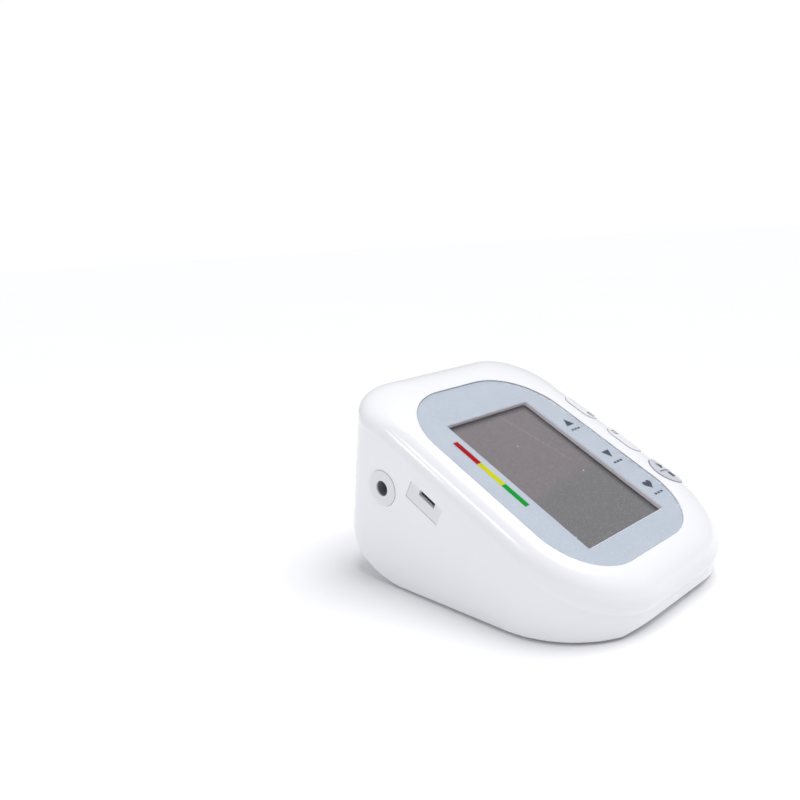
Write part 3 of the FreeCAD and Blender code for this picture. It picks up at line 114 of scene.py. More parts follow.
white_abs = surface("white_abs_polished", ("#F8F8FA", "#F3F3F7"), patch=45, rough=(0.15, 0.27), grain=2.2,
                    height=0.004, shader={"IOR": 1.54, "Coat Weight": 0.25, "Coat Roughness": 0.09})
dress(white_abs, "rear_case")


# Feet: four dark rubber discs pressed into pockets under the case.
# Moulded rubber is matt, with a dusty bloom over its fine grain.

foot_rubber = surface("moulded_rubber", ("#2B2B2E", "#3A3A3D"), patch=3, rough=(0.72, 0.9), grain=0.35,
                      height=0.03)
dress(foot_rubber, "rubber_feet")


# Cells: four size AA cells that lie side by side, turned alternately.
# Each is a drawn steel can in a printed plastic sleeve, bare and bright at both ends.

SLEEVE_HALF = 23.6
BAND_FROM_MIDDLE, BAND_HALF = 17.0, 1.5
cell_sleeve = surface("printed_cell_sleeve", ("#3B4650", "#333D47"), patch=8, rough=(0.28, 0.4), grain=0.5,
                      height=0.004)
tree = cell_sleeve.node_tree
cell_low, cell_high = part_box("battery_cells")
cell_middle = (cell_low.y + cell_high.y) / 2
place = add(tree, "TexCoord")
along = add(tree, "SeparateXYZ", links={"Vector": place.outputs["Object"]})
from_middle = add(tree, "Math", fields={"operation": "SUBTRACT"}, values={1: cell_middle},
                  links={0: along.outputs["Y"]})
outward = add(tree, "Math", fields={"operation": "ABSOLUTE"}, links={0: from_middle.outputs["Value"]})
bare = add(tree, "Math", fields={"operation": "GREATER_THAN"}, values={1: SLEEVE_HALF * MM},
           links={0: outward.outputs["Value"]})
band = add(tree, "Math", fields={"operation": "COMPARE"},
           values={1: BAND_FROM_MIDDLE * MM, 2: BAND_HALF * MM},
           links={0: outward.outputs["Value"]})
paint_over(cell_sleeve, band.outputs["Value"], "#AEB6BD")
paint_over(cell_sleeve, bare.outputs["Value"], "#C9C8C4")
tree.links.new(bare.outputs["Value"], tree.nodes["Principled BSDF"].inputs["Metallic"])
dress(cell_sleeve, "battery_cells")


# Contacts and springs: stamped plates and wound wire in the bay, nickel plated.
# The plating is bright, with a light rolling grain along the strip.

nickel = surface("nickel_plated_steel", ("#C8C6C0", "#B9B6AE"), patch=2, rough=(0.2, 0.36), grain=0.3,
                 height=0.004, stretch=(1, 6, 1), shader={"Metallic": 1.0})
dress(nickel, "battery_contacts", "battery_springs")


# Leads: pairs of thin stranded wires in soft vinyl, one red and one black in each pair.
# The vinyl is satin, with a slight ripple from the strands inside.

lead_vinyl = surface("wire_vinyl", ("#B3201C", "#A81B18"), patch=2, rough=(0.4, 0.55), grain=0.6,
                     height=0.02)
tree = lead_vinyl.node_tree
islands = add(tree, "NewGeometry")
black_lead = add(tree, "Math", fields={"operation": "GREATER_THAN"}, values={1: 0.5},
                 links={0: islands.outputs["Random Per Island"]})
paint_over(lead_vinyl, black_lead.outputs["Value"], "#19191B")
dress(lead_vinyl, "battery_leads", "pump_leads", "valve_leads")


# Battery door: the moulded lid under the case, on two hooks, with a thumb scoop and grip grooves.
# It is the same white ABS as the shells, from the same polished tool.

dress(white_abs, "battery_door")


# Release valve: a solenoid in a bent steel yoke, with a wound bobbin, a sprung plunger and an air nozzle.
# The yoke and plunger are zinc plated, a cool grey with a faint haze, and the spring is nickel plated.
# The pieces are pressed together before the valve goes into the lower shell.

zinc = surface("zinc_plated_steel", ("#AEB0B1", "#9FA2A5"), patch=4, rough=(0.3, 0.48), grain=0.5,
               height=0.006, shader={"Metallic": 1.0})
dress(zinc, "valve_yoke", "valve_plunger")
dress(nickel, "valve_spring")
# Enamelled copper wire is warm and glossy, ribbed by its turns, which are drawn coarser than real to show.
WIRE_PITCH, WIRE_RELIEF = 0.5, 0.12
WAVE_REPEAT = 0.314  # the distance between a wave texture's crests at a scale of 1
copper = surface("enamelled_copper_wire", ("#B4652F", "#A6582A"), patch=3, rough=(0.22, 0.34), grain=0.8,
                 height=0.004, shader={"Metallic": 0.85})
tree = copper.node_tree
place = add(tree, "TexCoord")
turns = add(tree, "TexWave", fields={"bands_direction": "Y", "wave_profile": "SIN"},
            values={"Scale": WAVE_REPEAT / (WIRE_PITCH * MM), "Distortion": 0.3},
            links={"Vector": place.outputs["Object"]})
wound = add(tree, "Bump", values={"Distance": WIRE_RELIEF * MM}, links={"Height": turns.outputs["Fac"]})
tree.links.new(wound.outputs["Normal"], tree.nodes["Principled BSDF"].inputs["Normal"])
dress(copper, "valve_coil")
# Ivory ABS from a plain tool is satin and slightly grained.
ivory_abs = surface("ivory_abs_plain", ("#E4E1D8", "#DBD8CE"), patch=9, rough=(0.42, 0.56), grain=0.4,
                    height=0.008, shader={"IOR": 1.54})
dress(ivory_abs, "valve_bobbin", "valve_nozzle")


# Air pump: a small motor that drives a rubber diaphragm in a black nylon housing, closed by a head.
# It lies in ribs of the lower shell, in a foam sleeve that keeps the motor from buzzing against them.

# Glass-filled nylon, moulded: a dull black with a faint fibre grain.
nylon = surface("black_glass_filled_nylon", ("#1D1D20", "#26262A"), patch=5, rough=(0.5, 0.68), grain=0.25,
                height=0.012)
dress(nylon, "pump_head", "pump_housing", "pump_end_cap")
# Drawn steel: bright, with fine lines along the draw.
drawn_can = surface("drawn_steel_can", ("#B9BABA", "#A8AAAC"), patch=2.5, rough=(0.24, 0.4), grain=0.5,
                    height=0.005, stretch=(8, 1, 1), shader={"Metallic": 1.0})
dress(drawn_can, "pump_motor")
# Bonded ferrite, pressed: a dull dark grey, slightly gritty.
ferrite = surface("bonded_ferrite", ("#2E2D2E", "#383637"), patch=2, rough=(0.6, 0.8), grain=0.2,
                  height=0.02)
dress(ferrite, "pump_magnet")
# Stacked steel sheets, stamped: the sheet edges show as fine steps along the rotor.
LAMINATION, SHEET_STEP = 0.5, 0.05
laminated = surface("stacked_steel_sheets", ("#8F8D88", "#7E7C78"), patch=3, rough=(0.34, 0.5), grain=0.4,
                    height=0.004, shader={"Metallic": 1.0})
tree = laminated.node_tree
place = add(tree, "TexCoord")
sheets = add(tree, "TexWave", fields={"bands_direction": "X", "wave_profile": "SAW"},
             values={"Scale": WAVE_REPEAT / (LAMINATION * MM)}, links={"Vector": place.outputs["Object"]})
stacked = add(tree, "Bump", values={"Distance": SHEET_STEP * MM}, links={"Height": sheets.outputs["Fac"]})
tree.links.new(stacked.outputs["Normal"], tree.nodes["Principled BSDF"].inputs["Normal"])
dress(laminated, "pump_rotor")
# Moulded black rubber: soft and matt.
black_rubber = surface("black_moulded_rubber", ("#171718", "#202022"), patch=4, rough=(0.6, 0.8), grain=0.3,
                       height=0.02)
dress(black_rubber, "pump_diaphragm")
# Foam rubber, cut from sheet: matt, pitted by its open pores.
PORE, PORE_DEPTH = 0.7, 0.3
foam = surface("grey_foam_rubber", ("#55565A", "#4A4B4F"), patch=3, rough=(0.85, 0.97), grain=0.5,
               height=0.1)
tree = foam.node_tree
place = add(tree, "TexCoord")
pores = add(tree, "TexVoronoi", values={"Scale": 1 / (PORE * MM)},
            links={"Vector": place.outputs["Object"]})
pitted = add(tree, "Bump", values={"Distance": PORE_DEPTH * MM}, links={"Height": pores.outputs["Distance"]})
tree.links.new(pitted.outputs["Normal"], tree.nodes["Principled BSDF"].inputs["Normal"])
dress(foam, "pump_sleeve")


# Air line: short silicone tubes pushed on spigots, and the moulded tee where they meet.
# Silicone is milky and a little translucent, with a satin extruded skin.

silicone = surface("milky_silicone", ("#DCDAD3", "#D2D0C9"), patch=4, rough=(0.35, 0.5), grain=0.8,
                   height=0.01,
                   shader={"Subsurface Weight": 0.35, "Subsurface Scale": 0.002, "IOR": 1.41})
dress(silicone, "socket_tube", "pump_tube", "sensor_tube", "valve_tube")
dress(ivory_abs, "air_tee", "air_socket_nut")


# Cuff socket: the round moulding in the left wall that takes the hose plug, in white ABS.
# Its face is spark eroded to a soft matt and stands a hair above the wall; the bore past its lip is painted
# mid grey as painted shade in the recess.

satin_white = surface("white_abs_satin", ("#EDEDF0", "#E5E5EA"), patch=12, rough=(0.3, 0.42), grain=0.35,
                      height=0.012, shader={"IOR": 1.54})
socket_low, socket_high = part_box("air_socket")
BORE_RADIUS, LIP = 3.3, 0.7
shaded_bore_socket = satin_white.copy()
shaded_bore_socket.name = "white_abs_painted_bore_shade"
tree = shaded_bore_socket.node_tree
axis = Vector((socket_low.x, (socket_low.y + socket_high.y) / 2, (socket_low.z + socket_high.z) / 2))
place = add(tree, "TexCoord")
inside = add(tree, "VectorMath", fields={"operation": "SUBTRACT"}, values={1: axis},
             links={0: place.outputs["Object"]})
part = add(tree, "SeparateXYZ", links={"Vector": inside.outputs["Vector"]})
round_axis = add(tree, "CombineXYZ", links={"Y": part.outputs["Y"], "Z": part.outputs["Z"]})
radius = add(tree, "VectorMath", fields={"operation": "LENGTH"}, links={0: round_axis.outputs["Vector"]})
in_bore = add(tree, "Math", fields={"operation": "LESS_THAN"}, values={1: BORE_RADIUS * MM},
              links={0: radius.outputs["Value"]})
past_lip = add(tree, "Math", fields={"operation": "GREATER_THAN"}, values={1: LIP * MM},
               links={0: part.outputs["X"]})
bore_shade = add(tree, "Math", fields={"operation": "MULTIPLY"},
             links={0: in_bore.outputs["Value"], 1: past_lip.outputs["Value"]})
# Painted shade: the bore past its lip turns mid grey, darker than the face, for the shade inside the recess.
paint_over(shaded_bore_socket, bore_shade.outputs["Value"], "#8A8D91")
dress(shaded_bore_socket, "air_socket")


# Main board: glass-fibre laminate under green solder resist, which lets the copper tracks show.
# The tracks are drawn as lines, wider apart than real ones so that they show. Screws hold it in place.

TRACK_PITCH, TRACK_LINE = 2.4, 0.06
resist = surface("green_solder_resist", ("#1E6B3A", "#1A5F34"), patch=6, rough=(0.25, 0.4), grain=0.3,
                 height=0.006)
tree = resist.node_tree
place = add(tree, "TexCoord")
tracks = add(tree, "TexBrick",
             values={"Scale": 1 / (TRACK_PITCH * 2 * MM), "Mortar Size": TRACK_LINE, "Bias": 0.0},
             links={"Vector": place.outputs["Object"]})
paint_over(resist, tracks.outputs["Fac"], "#4E9A5C")
dress(resist, "main_board")


# Parts on the board: chips, capacitors, the pressure sensor, switches and the charging socket.
# Moulded epoxy is a dull black; cans and shells are bright tin plate; the buzzer is a brass disc.

epoxy = surface("moulded_epoxy", ("#1B1B1D", "#232326"), patch=2, rough=(0.5, 0.66), grain=0.2, height=0.01)
dress(epoxy, "board_chips", "board_capacitors", "key_switches", "set_switch_plunger",
      "memory_switch_plunger", "start_switch_plunger")
tin = surface("tin_plated_steel", ("#C4C5C6", "#B2B4B6"), patch=2, rough=(0.22, 0.38), grain=0.3,
              height=0.004, shader={"Metallic": 1.0})
dress(tin, "pressure_sensor", "usb_socket")
brass = surface("rolled_brass", ("#C9A354", "#B8924A"), patch=2, rough=(0.25, 0.4), grain=0.4, height=0.004,
                stretch=(5, 1, 1), shader={"Metallic": 1.0})
dress(brass, "piezo_buzzer")


# Screws: pan-head screws that hold the board to its posts and the two shells together, from below.
# They are rolled steel under the same hazy zinc plate as the valve's yoke.

dress(zinc, "board_screws", "case_screws")


# Display: a liquid crystal cell, switched off, over a satin reflector, held by an ivory frame.
# Blank, it is an even grey with a fine mottle, dust and one hair scratch; a painted sheen leaves the rear
# lighter and pinker than the front, and painted shadow darkens the right and rear edges under the window's
# walls.

inward = Vector(next(j["axis"] for j in frame["joints"] if j["name"] == "start_press")).normalized()
panel_right = Vector((1, 0, 0))
panel_up = panel_right.cross(inward)
GLASS_MIDDLE = 4.47  # depth of the glass's middle under the panel face
glass_low, glass_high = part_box("lcd_glass")
window_middle = (glass_low + glass_high) / 2 - inward * GLASS_MIDDLE * MM
panel = Matrix.Translation(window_middle) @ Matrix((panel_right, panel_up, -inward)).transposed().to_4x4()


def panel_place(tree, at=(0, 0), turn=0.0):
    """Coordinates on the panel face, from a point in millimetres, turned about its normal."""
    spot = panel @ Matrix.Translation((at[0] * MM, at[1] * MM, 0)) @ Matrix.Rotation(turn, 4, "Z")
    place = add(tree, "TexCoord")
    local = add(tree, "Mapping", fields={"vector_type": "TEXTURE"},
                values={"Location": spot.translation, "Rotation": spot.to_euler()},
                links={"Vector": place.outputs["Object"]})
    return add(tree, "SeparateXYZ", links={"Vector": local.outputs["Vector"]})


# The cell's polariser film is satin plastic. Mottle and dust are drawn coarser than real so that they show.
DUST_SPACING, DUST_SIZE = 4.2, 0.09
MOTTLE = 0.9
SHEEN_EDGE, SHEEN_TURN = (-10.5, -3.5), math.radians(7.4)
SCRATCH_AT, SCRATCH_TURN = (10.3, 19.4), math.radians(14)
SCRATCH_LENGTH, SCRATCH_WIDTH = 37.0, 0.085
EDGE_SHADOW_FROM, EDGE_SHADOW_TO, EDGE_SHADOW_DARK = (21.4, 33.4), (26.0, 37.5), 0.85
lcd_film = surface("blank_lcd_polariser", ("#666062", "#625C5E"), patch=30, rough=(0.16, 0.26), grain=0.25,
                   height=0.001, shader={"Specular IOR Level": 0.1})
tree = lcd_film.node_tree
# Painted sheen: the front of the film, past a slanted line, is painted a darker neutral grey, so the rear
# stays lighter and pinker.
spot = panel_place(tree, turn=SHEEN_TURN)
painted_sheen = add(tree, "MapRange", fields={"interpolation_type": "SMOOTHSTEP"},
            values={"From Min": SHEEN_EDGE[1] * MM, "From Max": SHEEN_EDGE[0] * MM},
            links={"Value": spot.outputs["Y"]})
paint_over(lcd_film, painted_sheen.outputs["Result"], "#5C5B5C")
place = add(tree, "TexCoord")
mottle = add(tree, "TexNoise", values={"Scale": 1 / (MOTTLE * MM), "Detail": 2.0},
             links={"Vector": place.outputs["Object"]})
mottled = add(tree, "MapRange", values={"From Min": 0.5, "From Max": 0.75, "To Max": 0.5},
              links={"Value": mottle.outputs["Fac"]})
paint_over(lcd_film, mottled.outputs["Result"], "#7C7678")
specks = add(tree, "TexVoronoi", values={"Scale": 1 / (DUST_SPACING * MM), "Randomness": 1.0},
             links={"Vector": place.outputs["Object"]})
fleck = add(tree, "SeparateColor", links={"Color": specks.outputs["Color"]})
fleck_size = add(tree, "Math", fields={"operation": "MULTIPLY"}, values={1: DUST_SIZE},
                 links={0: fleck.outputs["Red"]})
dust = add(tree, "Math", fields={"operation": "LESS_THAN"},
           links={0: specks.outputs["Distance"], 1: fleck_size.outputs["Value"]})
faint = add(tree, "Math", fields={"operation": "MULTIPLY"},
            links={0: dust.outputs["Value"], 1: fleck.outputs["Green"]})
paint_over(lcd_film, faint.outputs["Value"], "#D8D0CC")
hair = panel_place(tree, SCRATCH_AT, SCRATCH_TURN)
hair_side = add(tree, "Math", fields={"operation": "COMPARE"}, values={1: 0.0, 2: SCRATCH_WIDTH / 2 * MM},
                links={0: hair.outputs["X"]})
hair_end = add(tree, "Math", fields={"operation": "COMPARE"}, values={1: 0.0, 2: SCRATCH_LENGTH / 2 * MM},
               links={0: hair.outputs["Y"]})
scratch = add(tree, "Math", fields={"operation": "MULTIPLY"},
              links={0: hair_side.outputs["Value"], 1: hair_end.outputs["Value"]})
paint_over(lcd_film, scratch.outputs["Value"], "#A8A2A5")
# Painted shadow: the film darkens smoothly towards its right and rear edges, where the window's walls shade
# it.
edge_shadow_place = panel_place(tree)
for axis, start, end in zip("XY", EDGE_SHADOW_FROM, EDGE_SHADOW_TO):
    edge = add(tree, "MapRange", fields={"interpolation_type": "SMOOTHSTEP"},
               values={"From Min": start * MM, "From Max": end * MM, "To Max": EDGE_SHADOW_DARK},
               links={"Value": edge_shadow_place.outputs[axis]})
    paint_over(lcd_film, edge.outputs["Result"], "#252324")
dress(lcd_film, "lcd_glass")
# Reflector film is an even, silky silver.
reflector = surface("satin_reflector_film", ("#BDBDB8", "#B2B2AD"), patch=6, rough=(0.35, 0.45), grain=0.2,
                    height=0.003, shader={"Metallic": 0.9})
dress(reflector, "lcd_reflector")
dress(ivory_abs, "lcd_frame")
# The contact strips are silicone rubber in dark and pink layers, sliced thin and matt.
STRIP_LAYER = 0.4
zebra = surface("layered_silicone_strip", ("#3A3A3C", "#303032"), patch=1, rough=(0.6, 0.75), grain=0.2,
                height=0.01)
tree = zebra.node_tree
place = add(tree, "TexCoord")
layers = add(tree, "TexWave", fields={"bands_direction": "X"},
             values={"Scale": WAVE_REPEAT / (STRIP_LAYER * MM)}, links={"Vector": place.outputs["Object"]})
paint_over(zebra, layers.outputs["Fac"], "#C58E86")
dress(zebra, "contact_strips")


# Front cover: the upper shell with the sloping panel, its window and the key holes.
# It is moulded in the same polished white ABS as the lower shell and screwed to it from below.

dress(white_abs, "front_cover")


# Window liner: a vinyl strip round the opening's wall, and under it a dark strip that is painted shadow.
# The vinyl strip is pale lavender grey and satin; the dark strip stands for the shadow in the gap where the
# wall meets the display.

WINDOW_HALF = (26.0, 37.5)
LINING, LINING_GAP = 0.14, 0.02
LINING_DEPTHS, GAP_SHADOW_DEPTHS = (1.22, 2.78), (2.8, 3.04)


def frame_strip(name, top, bottom, material):
    """A rectangular ring against the window's wall, between two depths in millimetres."""
    corners = []
    for depth in (top, bottom):
        for inset in (LINING_GAP, LINING_GAP + LINING):
            x, y = WINDOW_HALF[0] - inset, WINDOW_HALF[1] - inset
            corners += [(sx * x * MM, sy * y * MM, -depth * MM)
                        for sx, sy in ((-1, -1), (1, -1), (1, 1), (-1, 1))]
    loops = [range(4 * k, 4 * k + 4) for k in range(4)]
    faces = []
    for a, b in ((0, 1), (1, 3), (3, 2), (2, 0)):
        for k in range(4):
            after = (k + 1) % 4
            faces.append((loops[a][k], loops[a][after], loops[b][after], loops[b][k]))
    mesh = bpy.data.meshes.new(name)
    mesh.from_pydata(corners, [], faces)
    mesh.materials.append(material)
    piece = bpy.data.objects.new(name, mesh)
    bpy.context.scene.collection.objects.link(piece)
    piece.matrix_world = panel
    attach(piece, "case")
    return piece


vinyl = surface("lavender_grey_vinyl", ("#F0E9EF", "#E8E0E7"), patch=5, rough=(0.35, 0.5), grain=0.3,
                height=0.006)
# Painted shadow: a dark matt strip at the foot of the window's wall, where the gap to the display lies in
# shade.
gap_shadow_paint = surface("painted_gap_shadow", ("#3A383C", "#454347"), patch=2, rough=(0.8, 0.95), grain=0.3,
                      height=0.05)
frame_strip("window_lining", *LINING_DEPTHS, vinyl)
frame_strip("gap_shadow_strip", *GAP_SHADOW_DEPTHS, gap_shadow_paint)


# Lens and its border: a clear acrylic sheet glued flush in the cover, larger than the window.
# An anti-glare coat keeps its reflections weak. Blue-silver ink with fine flakes borders its back.

acrylic = surface("clear_acrylic_sheet", ("#FFFFFF", "#FAFCFF"), patch=20, rough=(0.0, 0.03), grain=6,
                  height=0.0004, shader={"IOR": 1.27, "Transmission Weight": 1.0})
dress(acrylic, "display_lens")
frame["nodes"]["display_lens"].visible_shadow = False
# Screen ink with metal flakes sparkles a little; the flakes are drawn coarser than real so that they show.
FLAKE = 0.3
INK_CLEARANCE = 0.015
silver_ink = surface("blue_silver_screen_ink", ("#9BA1A9", "#969DA6"), patch=14, rough=(0.4, 0.5),
                     grain=0.3, height=0.004, shader={"Specular IOR Level": 0.1})
tree = silver_ink.node_tree
place = add(tree, "TexCoord")
flakes = add(tree, "TexVoronoi", values={"Scale": 1 / (FLAKE * MM)},
             links={"Vector": place.outputs["Object"]})
flake_shade = add(tree, "RGBToBW", links={"Color": flakes.outputs["Color"]})
glint = add(tree, "MapRange", values={"From Min": 0.78, "From Max": 0.86, "To Max": 0.16},
            links={"Value": flake_shade.outputs["Val"]})
paint_over(silver_ink, glint.outputs["Result"], "#CBD2DB")
dress(silver_ink, "bezel_print")
ink_film = frame["nodes"]["bezel_print"].modifiers.new("clear_of_lens", "DISPLACE")
ink_film.mid_level = 0.0
ink_film.strength = -INK_CLEARANCE * MM


# Printed marks: a three-colour level bar left of the window, and a sign for each reading on its right.
# They are screen printed on the back of the lens before the silver border, so they show in front of it.

INK_THICK, INK_LIFT = 0.03, 0.01
INK_MESH = 0.7  # longest edge of a mark's mesh, so that it follows a curved face
ABOVE_PANEL = 20  # where the search for the face below a mark starts


def screen_print(name, shapes, ink, node, body):
    """Prints outlines, in millimetres on the panel, on the face of a frame node below them."""
    bm = bmesh.new()
    for outline in shapes:
        bm.faces.new([bm.verts.new((x * MM, y * MM, 0)) for x, y in outline])
    bmesh.ops.triangulate(bm, faces=bm.faces[:])
    for _ in range(3):
        long_edges = [e for e in bm.edges if e.calc_length() > INK_MESH * MM]
        bmesh.ops.subdivide_edges(bm, edges=long_edges, cuts=1, use_grid_fill=True)
        bmesh.ops.triangulate(bm, faces=bm.faces[:])
    carrier = frame["nodes"][node]
    tree = BVHTree.FromPolygons([panel.inverted() @ v.co for v in carrier.data.vertices],
                                [tuple(p.vertices) for p in carrier.data.polygons])
    for v in bm.verts:
        hit = tree.ray_cast(Vector((v.co.x, v.co.y, ABOVE_PANEL * MM)), Vector((0, 0, -1)))[0]
        v.co.z = hit.z + INK_LIFT * MM
    bmesh.ops.recalc_face_normals(bm, faces=bm.faces[:])
    for f in bm.faces:
        if f.normal.z < 0:
            f.normal_flip()
    mesh = bpy.data.meshes.new(name)
    bm.to_mesh(mesh)
    bm.free()
    piece = bpy.data.objects.new(name, mesh)
    bpy.context.scene.collection.objects.link(piece)
    piece.matrix_world = panel
    film = piece.modifiers.new("ink_film", "SOLIDIFY")
    film.thickness = INK_THICK * MM
    film.offset = 1.0
    mesh.materials.append(ink)
    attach(piece, body)
    return piece


def bar(x0, y0, x1, y1):
    """The outline of a rectangle between two corners."""
    return [(x0, y0), (x1, y0), (x1, y1), (x0, y1)]


def ring(x, y, outer, inner, steps=40):
    """A ring as outlines of short strips."""
    angles = [math.radians(360 * k / steps) for k in range(steps + 1)]
    corners = [[(x + size * math.cos(a), y + size * math.sin(a)) for size in (outer, inner)] for a in angles]
    return [[a_out, b_out, b_in, a_in] for (a_out, a_in), (b_out, b_in) in zip(corners, corners[1:])]


def heart(x, y, width):
    """A heart from its usual curve, scaled to a width."""
    scale = width / 32
    turns = [2 * math.pi * k / 48 for k in range(48)]
    return [(x + scale * 16 * math.sin(t) ** 3,
             y + scale * (13 * math.cos(t) - 5 * math.cos(2 * t) - 2 * math.cos(3 * t) - math.cos(4 * t)))
            for t in turns]


# Solid screen inks, flat and matt: red, yellow and green steps down the bar.
BAR_X, BAR_WIDTH = -30.5, 2.6
bar_ends = [27.7, 14.1, 1.0, -11.4]
bar_inks = [("red", "#98090D", "#8E080B"), ("yellow", "#BCBB06", "#B2B104"), ("green", "#068A2E", "#058029")]
for (colour, tone, dark_tone), top, bottom in zip(bar_inks, bar_ends, bar_ends[1:]):
    bar_ink = surface(f"{colour}_screen_ink", (tone, dark_tone), patch=2, rough=(0.35, 0.5), grain=0.2,
                      height=0.003, shader={"Specular IOR Level": 0.0})
    stripe = bar(BAR_X - BAR_WIDTH / 2, bottom, BAR_X + BAR_WIDTH / 2, top)
    mark = screen_print(f"level_bar_{colour}", [stripe], bar_ink, "bezel_print", "case")

# Grey screen ink, flat and matt.
grey_ink = surface("grey_screen_ink", ("#3E434E", "#474C57"), patch=1.5, rough=(0.4, 0.55), grain=0.2,
                   height=0.003, shader={"Specular IOR Level": 0.0})
SIGN_X, SIGN, ARROW_RISE = 33.3, 5.2, 0.42
UNIT_DROP, UNIT_PITCH, UNIT_LENGTH, UNIT_HIGH = 5.1, 2.2, 1.6, 1.0
UPPER_Y, LOWER_Y, PULSE_Y, HEART_LIFT = 18.6, -4.8, -25.8, 0.3


def unit_lines(x, y):
    """Three short strokes, the sign for a unit under each reading."""
    middles = [x + UNIT_PITCH * k for k in (-1, 0, 1)]
    return [bar(m - UNIT_LENGTH / 2, y - UNIT_HIGH / 2, m + UNIT_LENGTH / 2, y + UNIT_HIGH / 2)
            for m in middles]


def arrow(x, y, way):
    """A triangle that points up or down the panel."""
    rise = SIGN * ARROW_RISE * way
    return [(x - SIGN / 2, y - rise), (x + SIGN / 2, y - rise), (x, y + rise)]


for name, sign, y in (("upper_reading_sign", arrow(SIGN_X, UPPER_Y, 1), UPPER_Y),
                      ("lower_reading_sign", arrow(SIGN_X, LOWER_Y, -1), LOWER_Y),
                      ("pulse_sign", heart(SIGN_X, PULSE_Y + HEART_LIFT, SIGN), PULSE_Y)):
    mark = screen_print(name, [sign] + unit_lines(SIGN_X, y - UNIT_DROP), grey_ink, "bezel_print", "case")


# Keys: two white pill-shaped keys and a round grey one, proud of the cover and sprung by their switches.
# They are moulded in satin ABS, with flat dark signs pad printed on their tops: a clock for the set key,
# a list for the memory key, and start over stop on the round one.

key_white = surface("white_abs_key", ("#F1F1F4", "#EBEBF0"), patch=8, rough=(0.22, 0.32), grain=0.4,
                    height=0.006, shader={"IOR": 1.54})
dress(key_white, "set_button", "memory_button")
key_grey = surface("light_grey_abs_key", ("#CED1D8", "#C9CCD3"), patch=8, rough=(0.24, 0.34), grain=0.4,
                   height=0.006, shader={"IOR": 1.54})
dress(key_grey, "start_button")
pad_ink = surface("dark_grey_pad_ink", ("#3E424B", "#484C55"), patch=1.5, rough=(0.4, 0.55), grain=0.2,
                  height=0.003)
KEY_X = 52.3
SET_SIGN_Y, MEMORY_SIGN_Y, START_Y = 18.6, 4.6, -23.3
STROKE = 0.5
CLOCK, LONG_HAND, SHORT_HAND = 1.8, 1.2, 0.9
set_sign = ring(KEY_X, SET_SIGN_Y, CLOCK, CLOCK - STROKE) + [
    bar(KEY_X - STROKE / 2, SET_SIGN_Y, KEY_X + STROKE / 2, SET_SIGN_Y + LONG_HAND),
    bar(KEY_X, SET_SIGN_Y - STROKE / 2, KEY_X + SHORT_HAND, SET_SIGN_Y + STROKE / 2)]
LIST_HALF, LIST_PITCH = 1.8, 1.2
memory_sign = [bar(KEY_X - LIST_HALF, line - STROKE / 2, KEY_X + LIST_HALF, line + STROKE / 2)
               for line in (MEMORY_SIGN_Y - LIST_PITCH, MEMORY_SIGN_Y, MEMORY_SIGN_Y + LIST_PITCH)]
DIVIDER, DIVIDER_GAP, PLAY, STOP = 12.0, 1.2, 3.8, 3.2
line_left = KEY_X - DIVIDER / 2
play_foot = START_Y + DIVIDER_GAP
stop_top = START_Y - DIVIDER_GAP
start_sign = [bar(line_left + k, START_Y - STROKE / 2, line_left + k + 1, START_Y + STROKE / 2)
              for k in range(int(DIVIDER))]
start_sign += [
    [(KEY_X - PLAY / 2, play_foot), (KEY_X + PLAY / 2, play_foot + PLAY / 2),
     (KEY_X - PLAY / 2, play_foot + PLAY)],
    bar(KEY_X - STOP / 2, stop_top - STOP, KEY_X + STOP / 2, stop_top)]
for key, sign, slot in (("set", set_sign, "button_white"), ("memory", memory_sign, "button_white"),
                        ("start", start_sign, "button_grey")):
    mark = screen_print(f"{key}_key_sign", sign, pad_ink, f"{key}_button", f"{key}_button")


# Charging socket plate: the rectangular moulding in the left wall, round the slot for the plug.
# It is clipped in from inside, in white ABS with a fine spark-eroded texture.

dress(satin_white, "usb_port_plate")


# Floor, light and camera: a pale table in soft studio light, seen from the monitor's left front.
# One wide overhead diffuser lights the panel, and small lamps beside it draw the gloss along the rim.

FLOOR_RADIUS, FLOOR_DROP = 8000, 0.2
bpy.ops.mesh.primitive_circle_add(vertices=96, radius=FLOOR_RADIUS * MM, fill_type="NGON",
                                  location=(0, 0, -FLOOR_DROP * MM))
floor = bpy.context.object
floor.name = "floor"
floor_paint = surface("pale_matt_table", ("#F6F6F7", "#F4F4F5"), patch=300, rough=(0.8, 0.9), grain=2,
                      height=0.01, shader={"Specular IOR Level": 0.0})
floor.data.materials.append(floor_paint)

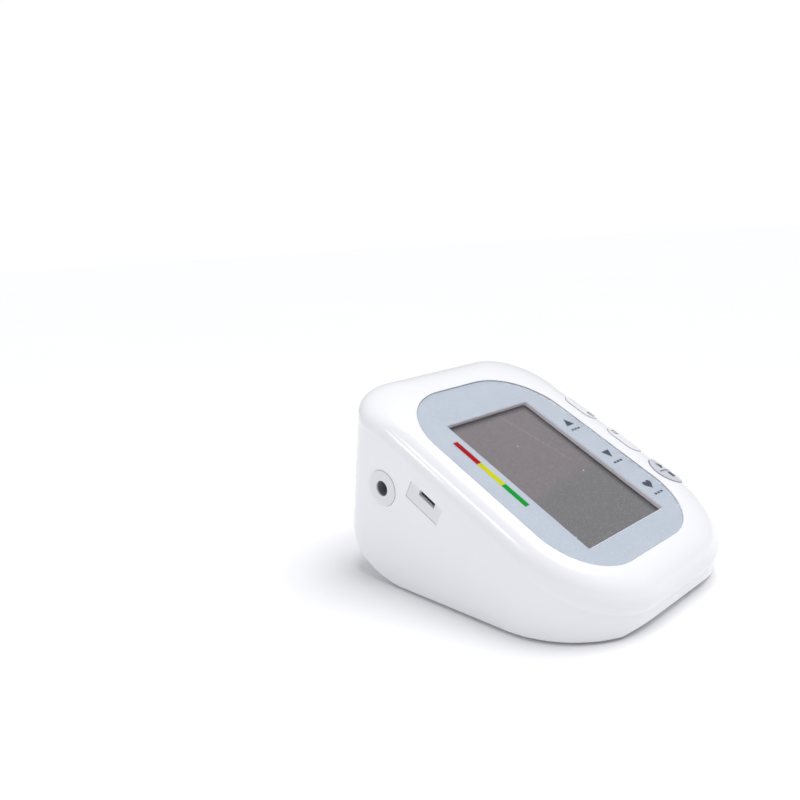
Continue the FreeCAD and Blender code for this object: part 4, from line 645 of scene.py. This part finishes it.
ROOM_LIGHT, BACKDROP = 0.45, 1.1
world = bpy.data.worlds.new("studio")
bpy.context.scene.world = world
world.use_nodes = True
tree = world.node_tree
sky = tree.nodes["Background"]
sky.inputs["Color"].default_value = linear("#F6F7FC")
seen = add(tree, "LightPath")
strength = add(tree, "MapRange", values={"To Min": ROOM_LIGHT, "To Max": BACKDROP},
               links={"Value": seen.outputs["Is Camera Ray"]})
tree.links.new(strength.outputs["Result"], sky.inputs["Strength"])

RIM_LAMPS = ((-0.571, 0.214, 0.294), (-0.525, 0.130, 0.400), (-0.530, 0.045, 0.395))
RIM_MIDDLE = Vector((-0.055, 0, 0.05))
LAMP_SIZE, LAMP_WATTS = (0.08, 0.05), 0.14
for number, spot in enumerate(RIM_LAMPS):
    light = bpy.data.lights.new(f"rim_lamp_{number}", "AREA")
    light.shape = "RECTANGLE"
    light.size, light.size_y = LAMP_SIZE
    light.energy = LAMP_WATTS
    lamp = bpy.data.objects.new(light.name, light)
    bpy.context.scene.collection.objects.link(lamp)
    lamp.location = spot
    lamp.rotation_euler = (RIM_MIDDLE - Vector(spot)).to_track_quat("-Z", "Y").to_euler()

OVERHEAD_WAY = Vector((-0.25, 0.2, -1.0))
overhead = bpy.data.lights.new("overhead_diffuser", "SUN")
overhead.energy = 2.2
overhead.angle = math.radians(50)
overhead_lamp = bpy.data.objects.new("overhead_diffuser", overhead)
bpy.context.scene.collection.objects.link(overhead_lamp)
overhead_lamp.rotation_euler = OVERHEAD_WAY.to_track_quat("-Z", "Y").to_euler()

CAMERA_AT = Vector((-250.65, -187.76, 141.1)) * MM
FORWARD = Vector((0.6663, 0.7152, -0.2111)).normalized()
ROLL = math.radians(3.464)
LENS_MM, SENSOR_MM = 34.70, 36.0
camera_data = bpy.data.cameras.new("camera")
camera_data.sensor_width = SENSOR_MM
camera_data.lens = LENS_MM
camera_data.clip_start = 0.01
camera = bpy.data.objects.new("camera", camera_data)
bpy.context.scene.collection.objects.link(camera)
level_right = FORWARD.cross(Vector((0, 0, 1))).normalized()
level_up = level_right.cross(FORWARD)
right = level_right * math.cos(ROLL) - level_up * math.sin(ROLL)
up = level_right * math.sin(ROLL) + level_up * math.cos(ROLL)
turn = Matrix((right, up, -FORWARD)).transposed().to_4x4()
camera.matrix_world = Matrix.Translation(CAMERA_AT) @ turn
bpy.context.scene.camera = camera
bpy.context.scene.view_settings.view_transform = "Standard"
